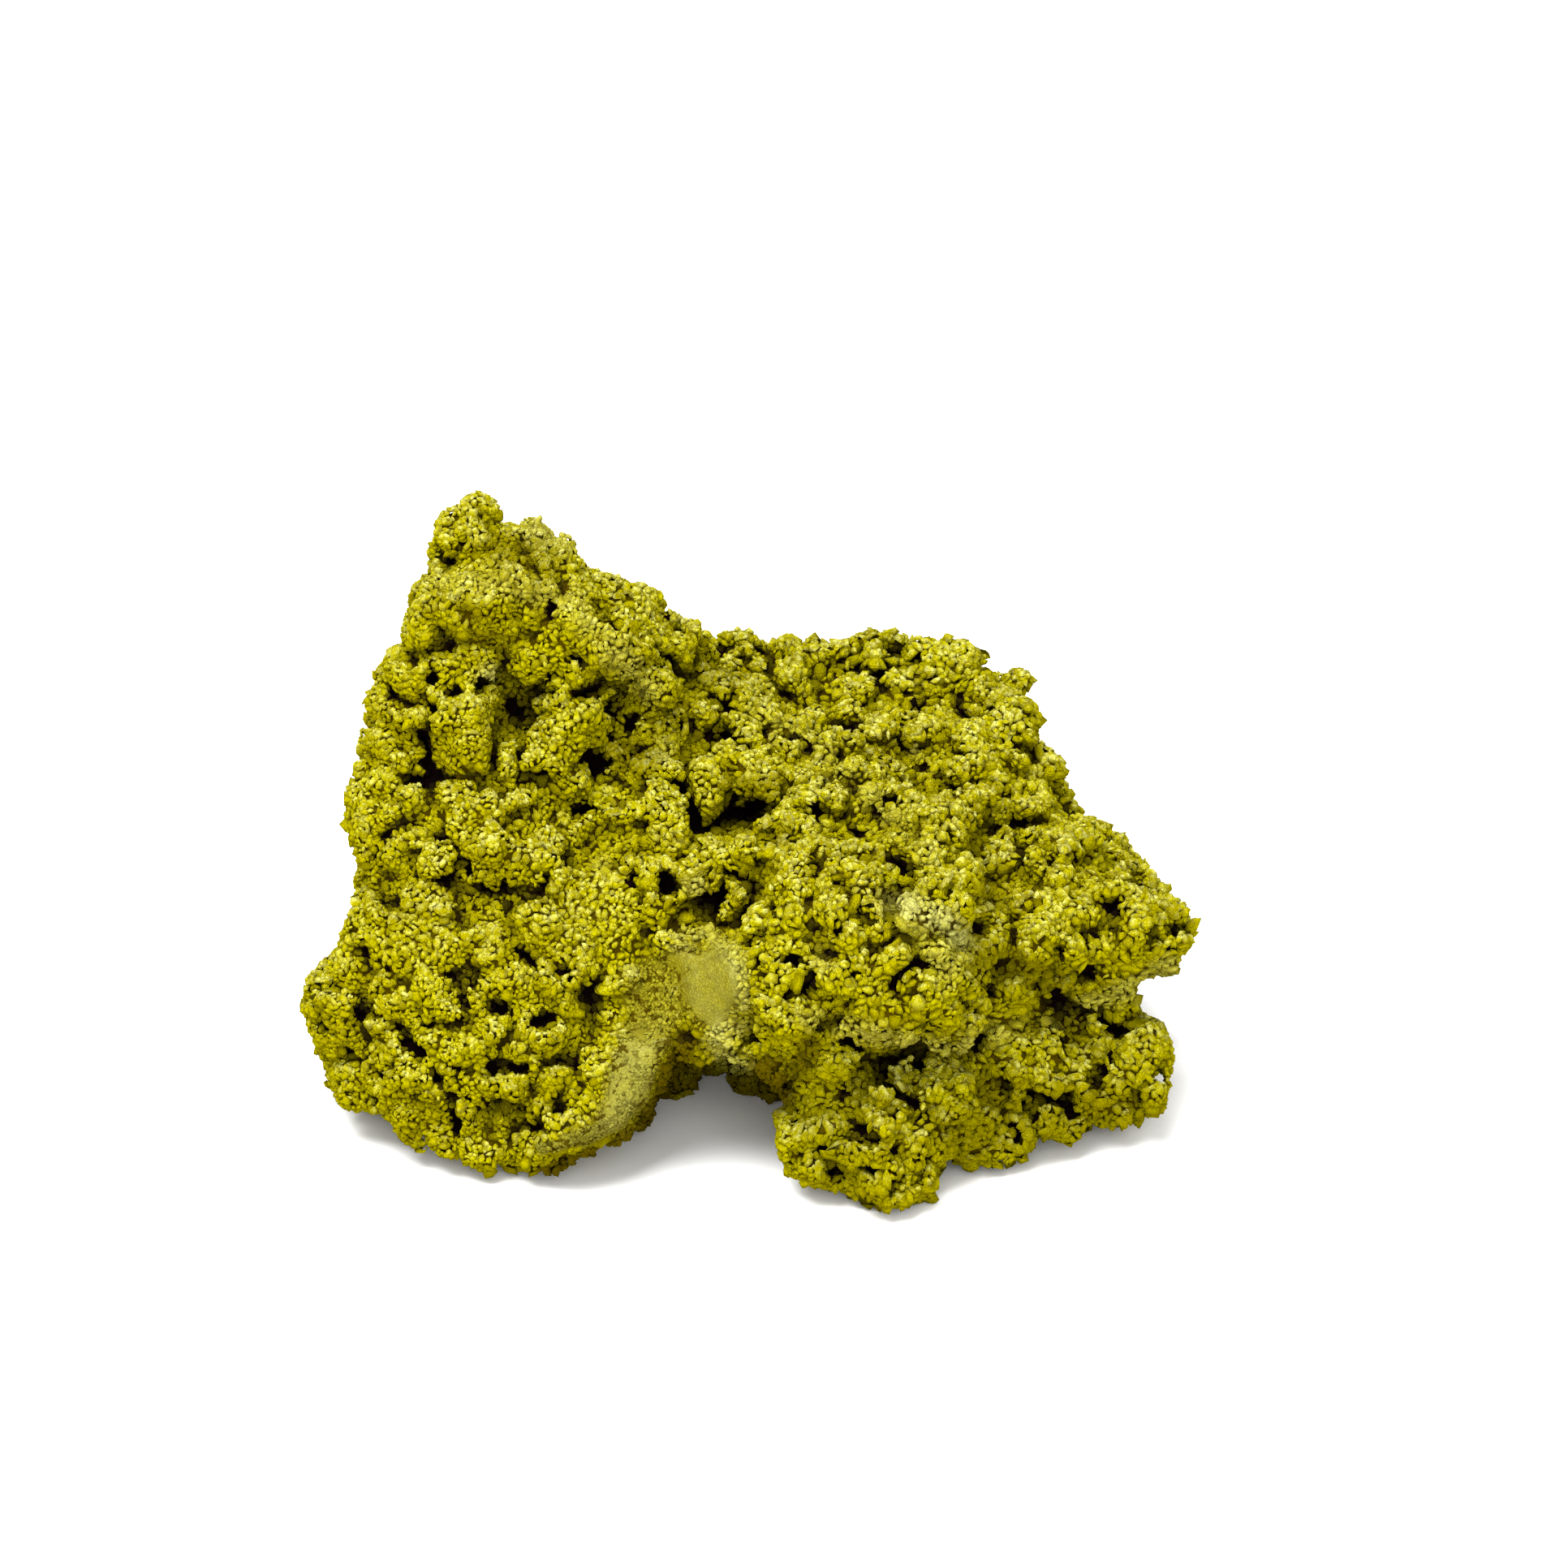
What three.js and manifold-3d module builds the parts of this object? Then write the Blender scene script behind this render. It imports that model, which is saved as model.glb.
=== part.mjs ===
// A nontronite specimen: one porous, lumpy mass of yellow-green clay grains, about 100 mm wide.
// A tall tower leans back on the left; a broad plateau, split by a level groove into an upper and
// a lower slab, lies on the right; a blunt knob stands out between them, above a low arch.
//
// The mass is described by a distance field in millimetres (negative inside) and turned into
// one closed faceted solid. Frame: +X to the right, +Y away from the display side, +Z up.
// Many places are given in the display plane, which is the plane square to the line of sight
// of somebody who looks at the specimen from the front and from DISPLAY_TILT above the horizon:
// "across" runs to the right, "rise" up that plane and "depth" away along the line of sight.
import * as THREE from "three";
import { mergeVertices } from "three/addons/utils/BufferGeometryUtils.js";
import Module from "manifold-3d";

// ---------------------------------------------------------------- driving dimensions (mm)
const DISPLAY_TILT = THREE.MathUtils.degToRad(25);
const GROUND_RISE = 27; // height of the display plane's centre above the ground

// Sampling grid of the field.
const CELL = 2.7;
const GRID_LOW = new THREE.Vector3(-57, -46, -5);
const GRID_HIGH = new THREE.Vector3(57, 43, 76);
const FILLED = 0.4; // depth given to an empty sample that is filled to join two corners
const SIGHT_RANGE = 60; // how far lines of sight are followed to either side of the display plane
const SIGHT_STEP = 0.25;

// Large form.
const MASS_BLEND = 12; // how softly limbs run into each other
const SLAB_BLEND = 2;
const BOSS_BLEND = 4;
const HOLLOW_BLEND = 4;
const BREAK_ROUND = 7;
const OUTLINE_ROUND = 4; // how softly the large form turns over at its display outline
const OUTLINE_SPARE = 1.5; // how far the large form may pass that outline
const SWELL_SIZE = 17;
const SWELL_HEIGHT = 1.8;
const FALL_FROM = 20; // where the top of the upper slab starts to fall, in X

// Relief on the large form.
const CREST_BLEND = 3;
const PIT_BLEND = 2;
const PIT_START = -2; // pits are cut from this far in front of the large form
const LUMP_SIZE = 8.5; // spacing of the cauliflower lumps
const LUMP_HEIGHT = 3.6;
const LUMP_STEEPNESS = 1.5;
const LUMP_REACH = 0.6; // squared distance from a lump's middle, in cells, where the crease is
const RELIEF_DEPTH = 12; // relief ends this far from the large form's surface
const TRIM_ROUND = 1; // how softly the lumps are trimmed to the display outline
const TRIM_SPARE = 0.4; // how far the lumps may pass it

// Underside.
const UNDERSIDE = 0.5; // mean height of the uneven underside over the ground
const UNDERSIDE_BLEND = 2;
const GROUND_SIZE = [200, 200, 20]; // block under the ground, which cuts the resting faces flat

// Each kind of noise has numbers of its own.
const NOISE = { swell: 11, lumps: 23, underside: 31 };

// The outline seen from the display side, clockwise from the peak: [across, rise].
const DISPLAY_OUTLINE = [
  [-30.5, 41], [-29, 41], [-26, 38.4], [-20, 35.8], [-18.5, 32], [-13.5, 30.5], [-11, 30],
  [-7.5, 26.5], [-4.5, 25.2], [-2, 24], [2.5, 23], [5.5, 24.5], [11.5, 25.8],
  [17, 25], [20.5, 23.5], [24, 24], [28.5, 23], [31.5, 20], [33, 17.5],
  [31.5, 15], [33, 12], [35.5, 9], [36.5, 6], [38, 4.2], [43, 1.2],
  [45.5, -2], [47.5, -5], [50, -7], [49, -10], [48.5, -13], [44, -14.5],
  [42.5, -16.5], [46, -18.5], [48.2, -22], [47.6, -26], [45.4, -30.4], [40, -32.6],
  [35.5, -32.9], [29, -34.6], [22.8, -36.6], [20.8, -39.6], [17.3, -41.2], [13, -39.8],
  [10, -38.2], [6, -37.1], [2.2, -34.4], [2.1, -31], [3.3, -28.8], [0, -27.6],
  [-5, -26.6], [-8, -28], [-9.5, -30.5], [-14.5, -33], [-20, -36.3],
  [-26.5, -37.3], [-30, -36.2], [-35, -35.6], [-38.5, -31.5], [-42, -28.3],
  [-45, -29], [-47.5, -26], [-48, -23], [-49.9, -19.5], [-49.5, -15],
  [-46.5, -12], [-45, -8], [-43.5, -4.5], [-44, 0], [-44.8, 5], [-43.8, 11],
  [-42.3, 15], [-42.3, 18], [-40.5, 22], [-38.5, 24], [-38, 28], [-36, 33],
  [-34.5, 37], [-32.5, 39.3],
];

// Tapered lumps that make up the mass: [x, y, z, radius] at the thick and at the thin end.
const LIMBS = [
  { thick: [-25, -3, 16, 21], thin: [-28, 9, 57, 10] }, // tower, leaning back
  { thick: [-30, 3, 26, 17], thin: [-33, 7, 44, 11] }, // left flank of the tower
  { thick: [-12, 6, 28, 15], thin: [-15, 10, 51, 9] }, // shoulder of the tower
  { thick: [-24, -14, 8, 16], thin: [-41, -5, 12, 13] }, // left foot and lobe
  { thick: [-22, 10, 15, 22], thin: [14, 14, 20, 17] }, // back
  { thick: [-4, -4, 22, 16], thin: [6, -6, 26, 14] }, // middle, above the arch
];

// Level slabs of the right side: plan outline [x, y], then the heights of underside and top,
// and how much the top falls towards +X and rises towards the back.
const SLABS = [
  {
    plan: [
      [-20, 0], [-6, -16], [8, -30], [22, -32], [54, -12],
      [52, 9], [38, 27], [25, 37], [-2, 38], [-24, 26],
    ],
    from: 17, to: 38, fall: 0.36, climb: 0.14, round: 5,
  }, // upper slab, whose top is the plateau
  {
    plan: [[-4, -8], [2, -28], [14, -40], [24, -32], [51, -16], [52, 3], [34, 25], [0, 30]],
    from: -4, to: 14, fall: 0, climb: 0, round: 5,
  }, // lower slab
  {
    plan: [[-2, -8], [6, -26], [20, -26], [44, -9], [46, 3], [32, 24], [0, 32]],
    from: 8, to: 24, fall: 0, climb: 0, round: 3,
  }, // waist between the two slabs
];

// Blunt lumps that stand out of the front: [across, rise, depth], half sizes along those axes
// and the radius of their edges.
const BOSSES = [
  { place: [-28, 35, -4], half: [9, 8, 8], round: 5 }, // head of the tower
  { place: [-25, 25, -8], half: [14, 6, 8], round: 5 }, // brow of the tower
  { place: [12, -11.5, -24], half: [13, 9.5, 9], round: 6 }, // knob
  { place: [-1, -14, -16], half: [9, 7, 8], round: 6 }, // neck of the knob, above the arch
  { place: [12.5, -33, -14], half: [10, 8, 10], round: 7 }, // right foot
  { place: [17, -37, -14], half: [7, 6, 9], round: 5 }, // toe of the right foot
  { place: [-24, -32, -8], half: [19, 9, 10], round: 6 }, // toe of the left foot
  { place: [-41, -26, 2], half: [10, 7, 10], round: 5 }, // heel of the left foot
  { place: [42, -25, -2], half: [10, 9, 10], round: 6 }, // end of the lower slab
];

// The hollow between the two feet, as tapered lumps taken away: [x, y, z, radius] at both ends.
const HOLLOWS = [
  { thick: [-6, -42, 4, 7.5], thin: [-4.5, -15, 6, 7] },
  { thick: [0, -21, 7, 5], thin: [5.5, -13, 7, 3.5] },
];

// Broken faces: [x, y, z] of the outward normal, and how far from the origin the face lies.
const BREAKS = [
  { normal: [0.1, 0.98, 0.12], at: 39 },
  { normal: [-0.68, 0.72, 0.12], at: 39 },
  { normal: [0.78, 0.62, 0.05], at: 49 },
  { normal: [-0.15, 0.72, 0.68], at: 58 },
  { normal: [-0.93, 0.3, 0.3], at: 54 },
  { normal: [0.45, 0.5, 0.74], at: 62 },
];

// Crests on the front: points [across, rise], radius, and how far their line is sunk.
const CRESTS = [
  { points: [[0.5, 15.7], [7.5, 11.5], [14.5, 5.5], [22, -0.5], [25, -6]], radius: 4, sunk: 1 },
  { points: [[30, 13], [25.5, 6.5], [22, -0.5]], radius: 3.5, sunk: 1 },
  { points: [[-36, 26], [-29, 28], [-21, 28.5], [-16.5, 24.5], [-11, 18]], radius: 4, sunk: 1 },
  { points: [[-30, 18], [-31.5, 10]], radius: 4, sunk: 1.5 },
  { points: [[-4, -17], [-9, -20.5], [-14, -24.5], [-20, -31]], radius: 4, sunk: 1.5 },
  { points: [[3, -1], [10, -3], [18, -7.5]], radius: 4, sunk: 2 },
  { points: [[36, -4], [44, -9]], radius: 4, sunk: 2 },
  { points: [[5, -20], [12, -22.5], [24, -21.5], [36, -17.5], [46, -13]], radius: 3.5, sunk: 2 },
];

// Pits in the front: [across, rise], radius, and how deep their round end is centred.
const PITS = [
  { place: [-5, 4.5], radius: 3, depth: 3 },
  { place: [0.5, 5], radius: 3.2, depth: 3 },
  { place: [-25.5, 15.5], radius: 2.6, depth: 2 },
  { place: [-16.5, 10.5], radius: 2.6, depth: 3 },
  { place: [-13, 7.3], radius: 2.2, depth: 2 },
  { place: [-15, 16.5], radius: 2, depth: 2 },
  { place: [-18.6, 4], radius: 2.6, depth: 2 },
  { place: [-36.3, 11.5], radius: 2.4, depth: 2 },
  { place: [-5, 22], radius: 2.2, depth: 2 },
  { place: [21, 9.6], radius: 2.8, depth: 2.5 },
  { place: [12.5, -30.5], radius: 2.2, depth: 1.5 },
  { place: [17, -2], radius: 2.4, depth: 2 },
  { place: [-32.7, -29.5], radius: 2.2, depth: 2 },
];

// Gullies in the front: points [across, rise], radius, and how deep their line is sunk.
const GULLIES = [
  { points: [[31, 6.5], [29, -1], [27.5, -7], [27.5, -12]], radius: 3, depth: 0.5 },
  { points: [[26, -14.5], [30, -13.3], [34, -13.5]], radius: 2.4, depth: 2 },
  { points: [[-27, 35], [-22, 33]], radius: 2.2, depth: 1 },
  { points: [[13, 16.3], [20, 16], [28, 17]], radius: 1.8, depth: 0.8 },
  { points: [[22, -27], [30, -28], [37, -27.5]], radius: 2, depth: 1 },
  { points: [[-37, 1], [-28, -3], [-27, -6]], radius: 1.6, depth: 0.5 },
];

// ---------------------------------------------------------------- frame
const SIN = Math.sin(DISPLAY_TILT);
const COS = Math.cos(DISPLAY_TILT);

/** Point of the specimen's frame at a place given by across, rise and depth. */
function fromDisplay(across, rise, depth) {
  return new THREE.Vector3(
    across,
    depth * COS + rise * SIN,
    rise * COS - depth * SIN + GROUND_RISE,
  );
}

/** Across, rise and depth of a point of the specimen's frame. */
function toDisplay(p) {
  const height = p.z - GROUND_RISE;
  return new THREE.Vector3(
    p.x,
    p.y * SIN + height * COS,
    p.y * COS - height * SIN,
  );
}

// ---------------------------------------------------------------- noise
/** A repeatable number from 0 to 1 for a cell of the integer lattice. */
function cellNumber(i, j, k, salt) {
  let h = (i * 374761393 + j * 668265263 + k * 2147483647 + salt * 1274126177) | 0;
  h = Math.imul(h ^ (h >>> 13), 1274126177);
  h = Math.imul(h ^ (h >>> 15), 2246822519);
  return ((h ^ (h >>> 16)) >>> 0) / 4294967296;
}

const ease = (t) => t * t * (3 - 2 * t);

/** Smooth value noise from -1 to 1 with features of the given size. */
function swell(p, size, salt) {
  const [x, y, z] = [p.x / size, p.y / size, p.z / size];
  const [i, j, k] = [Math.floor(x), Math.floor(y), Math.floor(z)];
  const [u, v, w] = [ease(x - i), ease(y - j), ease(z - k)];
  let sum = 0;
  for (let c = 0; c < 8; c++) {
    const [a, b, d] = [c & 1, (c >> 1) & 1, c >> 2];
    const weight = (a ? u : 1 - u) * (b ? v : 1 - v) * (d ? w : 1 - w);
    sum += weight * cellNumber(i + a, j + b, k + d, salt);
  }
  return 2 * sum - 1;
}

/** Height from 0 to 1 of round lumps scattered at the given spacing, 0 in the creases. */
function lumps(p, size, salt) {
  const [x, y, z] = [p.x / size, p.y / size, p.z / size];
  const [i, j, k] = [Math.floor(x), Math.floor(y), Math.floor(z)];
  let nearest = 9;
  for (let a = -1; a <= 1; a++)
    for (let b = -1; b <= 1; b++)
      for (let c = -1; c <= 1; c++) {
        const dx = i + a + cellNumber(i + a, j + b, k + c, salt) - x;
        const dy = j + b + cellNumber(i + a, j + b, k + c, salt + 1) - y;
        const dz = k + c + cellNumber(i + a, j + b, k + c, salt + 2) - z;
        nearest = Math.min(nearest, dx * dx + dy * dy + dz * dz);
      }
  return 1 - LUMP_STEEPNESS * Math.min(nearest, LUMP_REACH);
}

// ---------------------------------------------------------------- distance fields
/** The lower of two distances, blended over k. */
function softMin(a, b, k) {
  const h = Math.max(k - Math.abs(a - b), 0) / k;
  return Math.min(a, b) - (h * h * k) / 4;
}

/** The higher of two distances, blended over k. */
const softMax = (a, b, k) => -softMin(-a, -b, k);

/** Distance to a tapered lump with a round end of its own radius at each end. */
function limbDistance(p, { thick, thin }) {
  const a = new THREE.Vector3(...thick);
  const along = new THREE.Vector3(...thin).sub(a);
  const t = THREE.MathUtils.clamp(p.clone().sub(a).dot(along) / along.lengthSq(), 0, 1);
  return p.distanceTo(a.addScaledVector(along, t)) - THREE.MathUtils.lerp(thick[3], thin[3], ease(t));
}

/** Distance to a box with rounded edges, centred on the origin. */
function roundedBox(p, half, round) {
  const [x, y, z] = [p.x, p.y, p.z].map((value, i) => Math.abs(value) - half[i] + round);
  const outside = Math.hypot(Math.max(x, 0), Math.max(y, 0), Math.max(z, 0));
  return outside + Math.min(Math.max(x, y, z), 0) - round;
}

/** Distance from (x, y) to a closed outline, negative inside. */
function outlineDistance(x, y, outline) {
  let nearest = Infinity;
  let inside = false;
  for (let i = 0, j = outline.length - 1; i < outline.length; j = i++) {
    const [ax, ay] = outline[j];
    const [bx, by] = outline[i];
    const [ex, ey] = [bx - ax, by - ay];
    const t = ((x - ax) * ex + (y - ay) * ey) / (ex * ex + ey * ey);
    const s = Math.min(1, Math.max(0, t));
    nearest = Math.min(nearest, Math.hypot(x - ax - s * ex, y - ay - s * ey));
    if (ay > y !== by > y && x < ax + ((y - ay) / ey) * ex) inside = !inside;
  }
  return inside ? -nearest : nearest;
}

/** Distance to the segment from a to b. */
function segmentDistance(p, a, b) {
  const along = b.clone().sub(a);
  const t = p.clone().sub(a).dot(along) / along.lengthSq();
  return p.distanceTo(a.clone().addScaledVector(along, THREE.MathUtils.clamp(t, 0, 1)));
}

/** Distance to a slab with an outline in plan and a falling top. */
function slabDistance(p, { plan, from, to, fall, climb, round }) {
  const top = to - fall * Math.max(0, p.x - FALL_FROM) + climb * p.y;
  const side = outlineDistance(p.x, p.y, plan);
  return softMax(softMax(side, p.z - top, round), from - p.z, round);
}

/** Distance to a chain of points. */
function chainDistance(p, chain) {
  let nearest = Infinity;
  for (let i = 1; i < chain.length; i++)
    nearest = Math.min(nearest, segmentDistance(p, chain[i - 1], chain[i]));
  return nearest;
}

/** The large form: limbs, slabs and bosses, hollowed, and trimmed to the display outline. */
function bulk(p) {
  let d = Infinity;
  for (const limb of LIMBS) d = softMin(d, limbDistance(p, limb), MASS_BLEND);
  for (const slab of SLABS) d = softMin(d, slabDistance(p, slab), SLAB_BLEND);
  const q = toDisplay(p);
  for (const { place, half, round } of BOSSES)
    d = softMin(d, roundedBox(q.clone().sub(new THREE.Vector3(...place)), half, round), BOSS_BLEND);
  for (const { normal, at } of BREAKS)
    d = softMax(d, p.dot(new THREE.Vector3(...normal).normalize()) - at, BREAK_ROUND);
  for (const hollow of HOLLOWS) d = softMax(d, -limbDistance(p, hollow), HOLLOW_BLEND);
  d += SWELL_HEIGHT * swell(p, SWELL_SIZE, NOISE.swell);
  return softMax(d, outlineDistance(q.x, q.y, DISPLAY_OUTLINE) - OUTLINE_SPARE, OUTLINE_ROUND);
}

/** Where the line of sight at (across, rise) meets the front of the large form. */
function frontPoint([across, rise]) {
  for (let depth = -SIGHT_RANGE; depth < SIGHT_RANGE; depth += SIGHT_STEP) {
    const p = fromDisplay(across, rise, depth);
    if (bulk(p) < 0) return p;
  }
  throw new Error(`nothing lies at across ${across}, rise ${rise}`);
}

const LINE_OF_SIGHT = fromDisplay(0, 0, 1).sub(fromDisplay(0, 0, 0));
const sink = (place, depth) => frontPoint(place).addScaledVector(LINE_OF_SIGHT, depth);
const raised = CRESTS.map(({ points, radius, sunk }) => ({
  radius,
  chain: points.map((place) => sink(place, sunk)),
}));
const carved = [
  ...PITS.map(({ place, radius, depth }) => ({
    radius,
    chain: [sink(place, PIT_START), sink(place, depth)],
  })),
  ...GULLIES.map(({ points, radius, depth }) => ({
    radius,
    chain: points.map((place) => sink(place, depth)),
  })),
];

/** The whole mass, with its crests, pits, gullies and lumps. */
function mass(p) {
  let d = bulk(p);
  if (Math.abs(d) > RELIEF_DEPTH) return d;
  for (const { radius, chain } of raised) d = softMin(d, chainDistance(p, chain) - radius, CREST_BLEND);
  for (const { radius, chain } of carved) d = softMax(d, radius - chainDistance(p, chain), PIT_BLEND);
  d -= LUMP_HEIGHT * (lumps(p, LUMP_SIZE, NOISE.lumps) - 0.5);
  const { x, y } = toDisplay(p);
  d = softMax(d, outlineDistance(x, y, DISPLAY_OUTLINE) - TRIM_SPARE, TRIM_ROUND);
  const underside = UNDERSIDE - SWELL_HEIGHT * swell(p, LUMP_SIZE, NOISE.underside);
  return softMax(d, underside - p.z, UNDERSIDE_BLEND);
}

// ---------------------------------------------------------------- field to faceted solid
/** Closed mesh of the zero surface of a field: one vertex for each cell that the surface crosses. */
function surfaceNet(field, low, high, cell) {
  const [nx, ny, nz] = high.clone().sub(low).divideScalar(cell).ceil().toArray().map((n) => n + 1);
  const index = (i, j, k) => i + nx * (j + ny * k);
  const values = new Float32Array(nx * ny * nz);
  for (let k = 0; k < nz; k++)
    for (let j = 0; j < ny; j++)
      for (let i = 0; i < nx; i++)
        values[index(i, j, k)] = field(
          new THREE.Vector3(i, j, k).multiplyScalar(cell).add(low),
        );
  const steps = [1, nx, nx * ny];
  joinCorners(values, steps);
  const vertexOf = new Map();
  const positions = [];
  const triangles = [];
  for (let k = 0; k < nz - 1; k++)
    for (let j = 0; j < ny - 1; j++)
      for (let i = 0; i < nx - 1; i++) {
        const point = crossingCentre(values, index(i, j, k), steps);
        if (!point) continue;
        vertexOf.set(index(i, j, k), positions.length / 3);
        point.add(new THREE.Vector3(i, j, k)).multiplyScalar(cell).add(low);
        positions.push(...point.toArray());
      }
  for (const n of vertexOf.keys())
    for (let axis = 0; axis < 3; axis++) {
      const inside = values[n] < 0;
      if (inside === values[n + steps[axis]] < 0) continue;
      const [u, v] = [steps[(axis + 1) % 3], steps[(axis + 2) % 3]];
      const [a, b, c, d] = [n - u - v, n - v, n, n - u].map((m) => vertexOf.get(m));
      triangles.push(...(inside ? [a, b, c, a, c, d] : [a, c, b, a, d, c]));
    }
  return { positions: new Float32Array(positions), triangles: new Uint32Array(triangles) };
}

/**
 * Make the surface one simple skin: where solid cells would touch along an edge or at a corner
 * only, the nearest empty sample between them becomes solid, until no such place is left.
 */
function joinCorners(values, steps) {
  const fill = (samples) => {
    const empty = samples.filter((n) => values[n] >= 0);
    values[empty.reduce((a, b) => (values[a] < values[b] ? a : b))] = -FILLED;
  };
  const end = values.length - steps[0] - steps[1] - steps[2];
  for (let changed = true; changed; ) {
    changed = false;
    for (let n = 0; n < end; n++) {
      for (let axis = 0; axis < 3; axis++) {
        const [u, v] = [steps[(axis + 1) % 3], steps[(axis + 2) % 3]];
        const square = [n, n + u, n + u + v, n + v];
        const solid = square.map((m) => values[m] < 0);
        if (solid[0] !== solid[2] || solid[1] !== solid[3] || solid[0] === solid[1]) continue;
        fill(square);
        changed = true;
      }
      const corners = [0, 1, 2, 3, 4, 5, 6, 7].map(
        (c) => n + (c & 1) * steps[0] + ((c >> 1) & 1) * steps[1] + (c >> 2) * steps[2],
      );
      const count = corners.filter((m) => values[m] < 0).length;
      if (count !== 2 && count !== 6) continue;
      const alone = count === 2;
      if (![0, 1, 2, 3].some((c) => [c, 7 - c].every((m) => values[corners[m]] < 0 === alone))) continue;
      fill(corners);
      changed = true;
    }
  }
}

/** Mean of the points where a cell's edges cross zero, in cell units, or null if none does. */
function crossingCentre(values, corner, steps) {
  const sum = new THREE.Vector3();
  let count = 0;
  for (let c = 0; c < 8; c++)
    for (let axis = 0; axis < 3; axis++) {
      if (c & (1 << axis)) continue;
      const start = [c & 1, (c >> 1) & 1, c >> 2];
      const m = corner + start[0] * steps[0] + start[1] * steps[1] + start[2] * steps[2];
      const [a, b] = [values[m], values[m + steps[axis]]];
      if (a < 0 === b < 0) continue;
      start[axis] += a / (a - b);
      sum.add(new THREE.Vector3(...start));
      count++;
    }
  return count ? sum.divideScalar(count) : null;
}

const wasm = await Module();
wasm.setup();

/** Solid of a triangle mesh. */
function toSolid(positions, triangles) {
  return new wasm.Manifold(
    new wasm.Mesh({ numProp: 3, vertProperties: positions, triVerts: triangles }),
  );
}

/** Solid of a closed three.js geometry whose corners are shared. */
function geometryToSolid(shape) {
  const bare = shape.clone().deleteAttribute("normal").deleteAttribute("uv");
  const merged = mergeVertices(bare);
  return toSolid(merged.attributes.position.array, merged.index.array);
}

/** The largest connected part of a solid, so that no loose crumb is left beside it. */
function largestPart(solid) {
  return solid.decompose().reduce((a, b) => (a.volume() > b.volume() ? a : b));
}

const net = surfaceNet(mass, GRID_LOW, GRID_HIGH, CELL);
const ground = new THREE.BoxGeometry(...GROUND_SIZE).translate(0, 0, -GROUND_SIZE[2] / 2);
const rested = toSolid(net.positions, net.triangles).subtract(geometryToSolid(ground));
const { vertProperties, triVerts } = largestPart(rested).getMesh();

const geometry = new THREE.BufferGeometry()
  .setAttribute("position", new THREE.BufferAttribute(vertProperties, 3))
  .setIndex(new THREE.BufferAttribute(triVerts, 1));
geometry.computeBoundingBox();
const middle = geometry.boundingBox.getCenter(new THREE.Vector3());
geometry.translate(-middle.x, -middle.y, 0);

const specimen = new THREE.Group();
const nontronite = new THREE.Mesh(
  geometry,
  new THREE.MeshStandardMaterial({ color: "#968c1c", roughness: 0.95, metalness: 0 }),
);
nontronite.name = "nontronite_mass";
specimen.add(nontronite);

export default specimen;
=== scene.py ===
"""Nontronite specimen: a porous crust of round clay grains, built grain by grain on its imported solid.

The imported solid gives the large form. A bed of small lobes with open pores between them is grown
just under its surface, and thousands of grains about a millimetre across are set on that bed, so
that their tips reach the solid's surface. Lengths inside the classes are millimetres; they become
metres where a mesh is made.
"""

from __future__ import annotations

import logging
import math
from dataclasses import dataclass, field
from enum import Enum

import bpy
import numpy as np
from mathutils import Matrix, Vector
from mathutils.bvhtree import BVHTree
from mathutils.kdtree import KDTree


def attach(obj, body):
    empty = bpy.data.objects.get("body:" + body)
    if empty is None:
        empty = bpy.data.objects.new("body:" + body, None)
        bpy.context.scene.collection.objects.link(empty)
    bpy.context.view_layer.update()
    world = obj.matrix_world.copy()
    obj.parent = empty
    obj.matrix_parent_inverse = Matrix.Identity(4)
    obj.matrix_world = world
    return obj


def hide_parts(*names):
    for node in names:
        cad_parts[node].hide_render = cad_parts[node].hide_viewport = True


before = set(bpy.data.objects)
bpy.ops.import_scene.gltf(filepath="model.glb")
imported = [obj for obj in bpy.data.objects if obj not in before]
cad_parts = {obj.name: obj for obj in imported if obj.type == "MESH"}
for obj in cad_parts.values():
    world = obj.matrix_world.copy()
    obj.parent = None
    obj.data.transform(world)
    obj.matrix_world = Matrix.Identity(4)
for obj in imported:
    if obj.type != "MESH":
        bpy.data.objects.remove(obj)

LOG = logging.getLogger("nontronite")
Array = np.ndarray
Socket = bpy.types.NodeSocket
Pair = tuple[float, float]
Place = tuple[float, float]
Chain = tuple[Place, ...]
Colour = tuple[float, float, float, float]

NODE = "nontronite_mass"
BODY = "root"
MM = 0.001
SEED = 71
TINY = 1e-9
WORN_REACH = 1.25

# The Mix node's sockets for a share and two colours, and for the colour that it gives.
MIX_INPUTS = (0, 6, 7)
MIX_OUTPUT = 2


def linear(red: int, green: int, blue: int) -> Colour:
    """Convert an 8-bit screen colour to linear light, by the usual sRGB curve.

    Args:
        red, green, blue: Channels from 0 to 255.

    Returns:
        Linear red, green, blue and an alpha of 1.
    """
    def one(value: int) -> float:
        """Convert one channel."""
        share = value / 255
        return share / 12.92 if share <= 0.04045 else ((share + 0.055) / 1.055) ** 2.4

    return one(red), one(green), one(blue), 1.0


def unit(vectors: Array) -> Array:
    """Scale each row of an array to length one."""
    return vectors / np.maximum(np.linalg.norm(vectors, axis=-1, keepdims=True), TINY)


def ramp(value: Array, low: float, high: float) -> Array:
    """Ease from 0 at low to 1 at high.

    Args:
        value: Numbers to place on the ramp.
        low: Where the ramp starts.
        high: Where the ramp ends; it may be below low.

    Returns:
        The eased share, from 0 to 1.
    """
    share = np.clip((value - low) / (high - low), 0, 1)
    return share * share * (3 - 2 * share)


def between(ends: Pair, share: Array) -> Array:
    """Return the number that lies that share of the way from the first end to the second."""
    return ends[0] + share * (ends[1] - ends[0])


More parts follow.
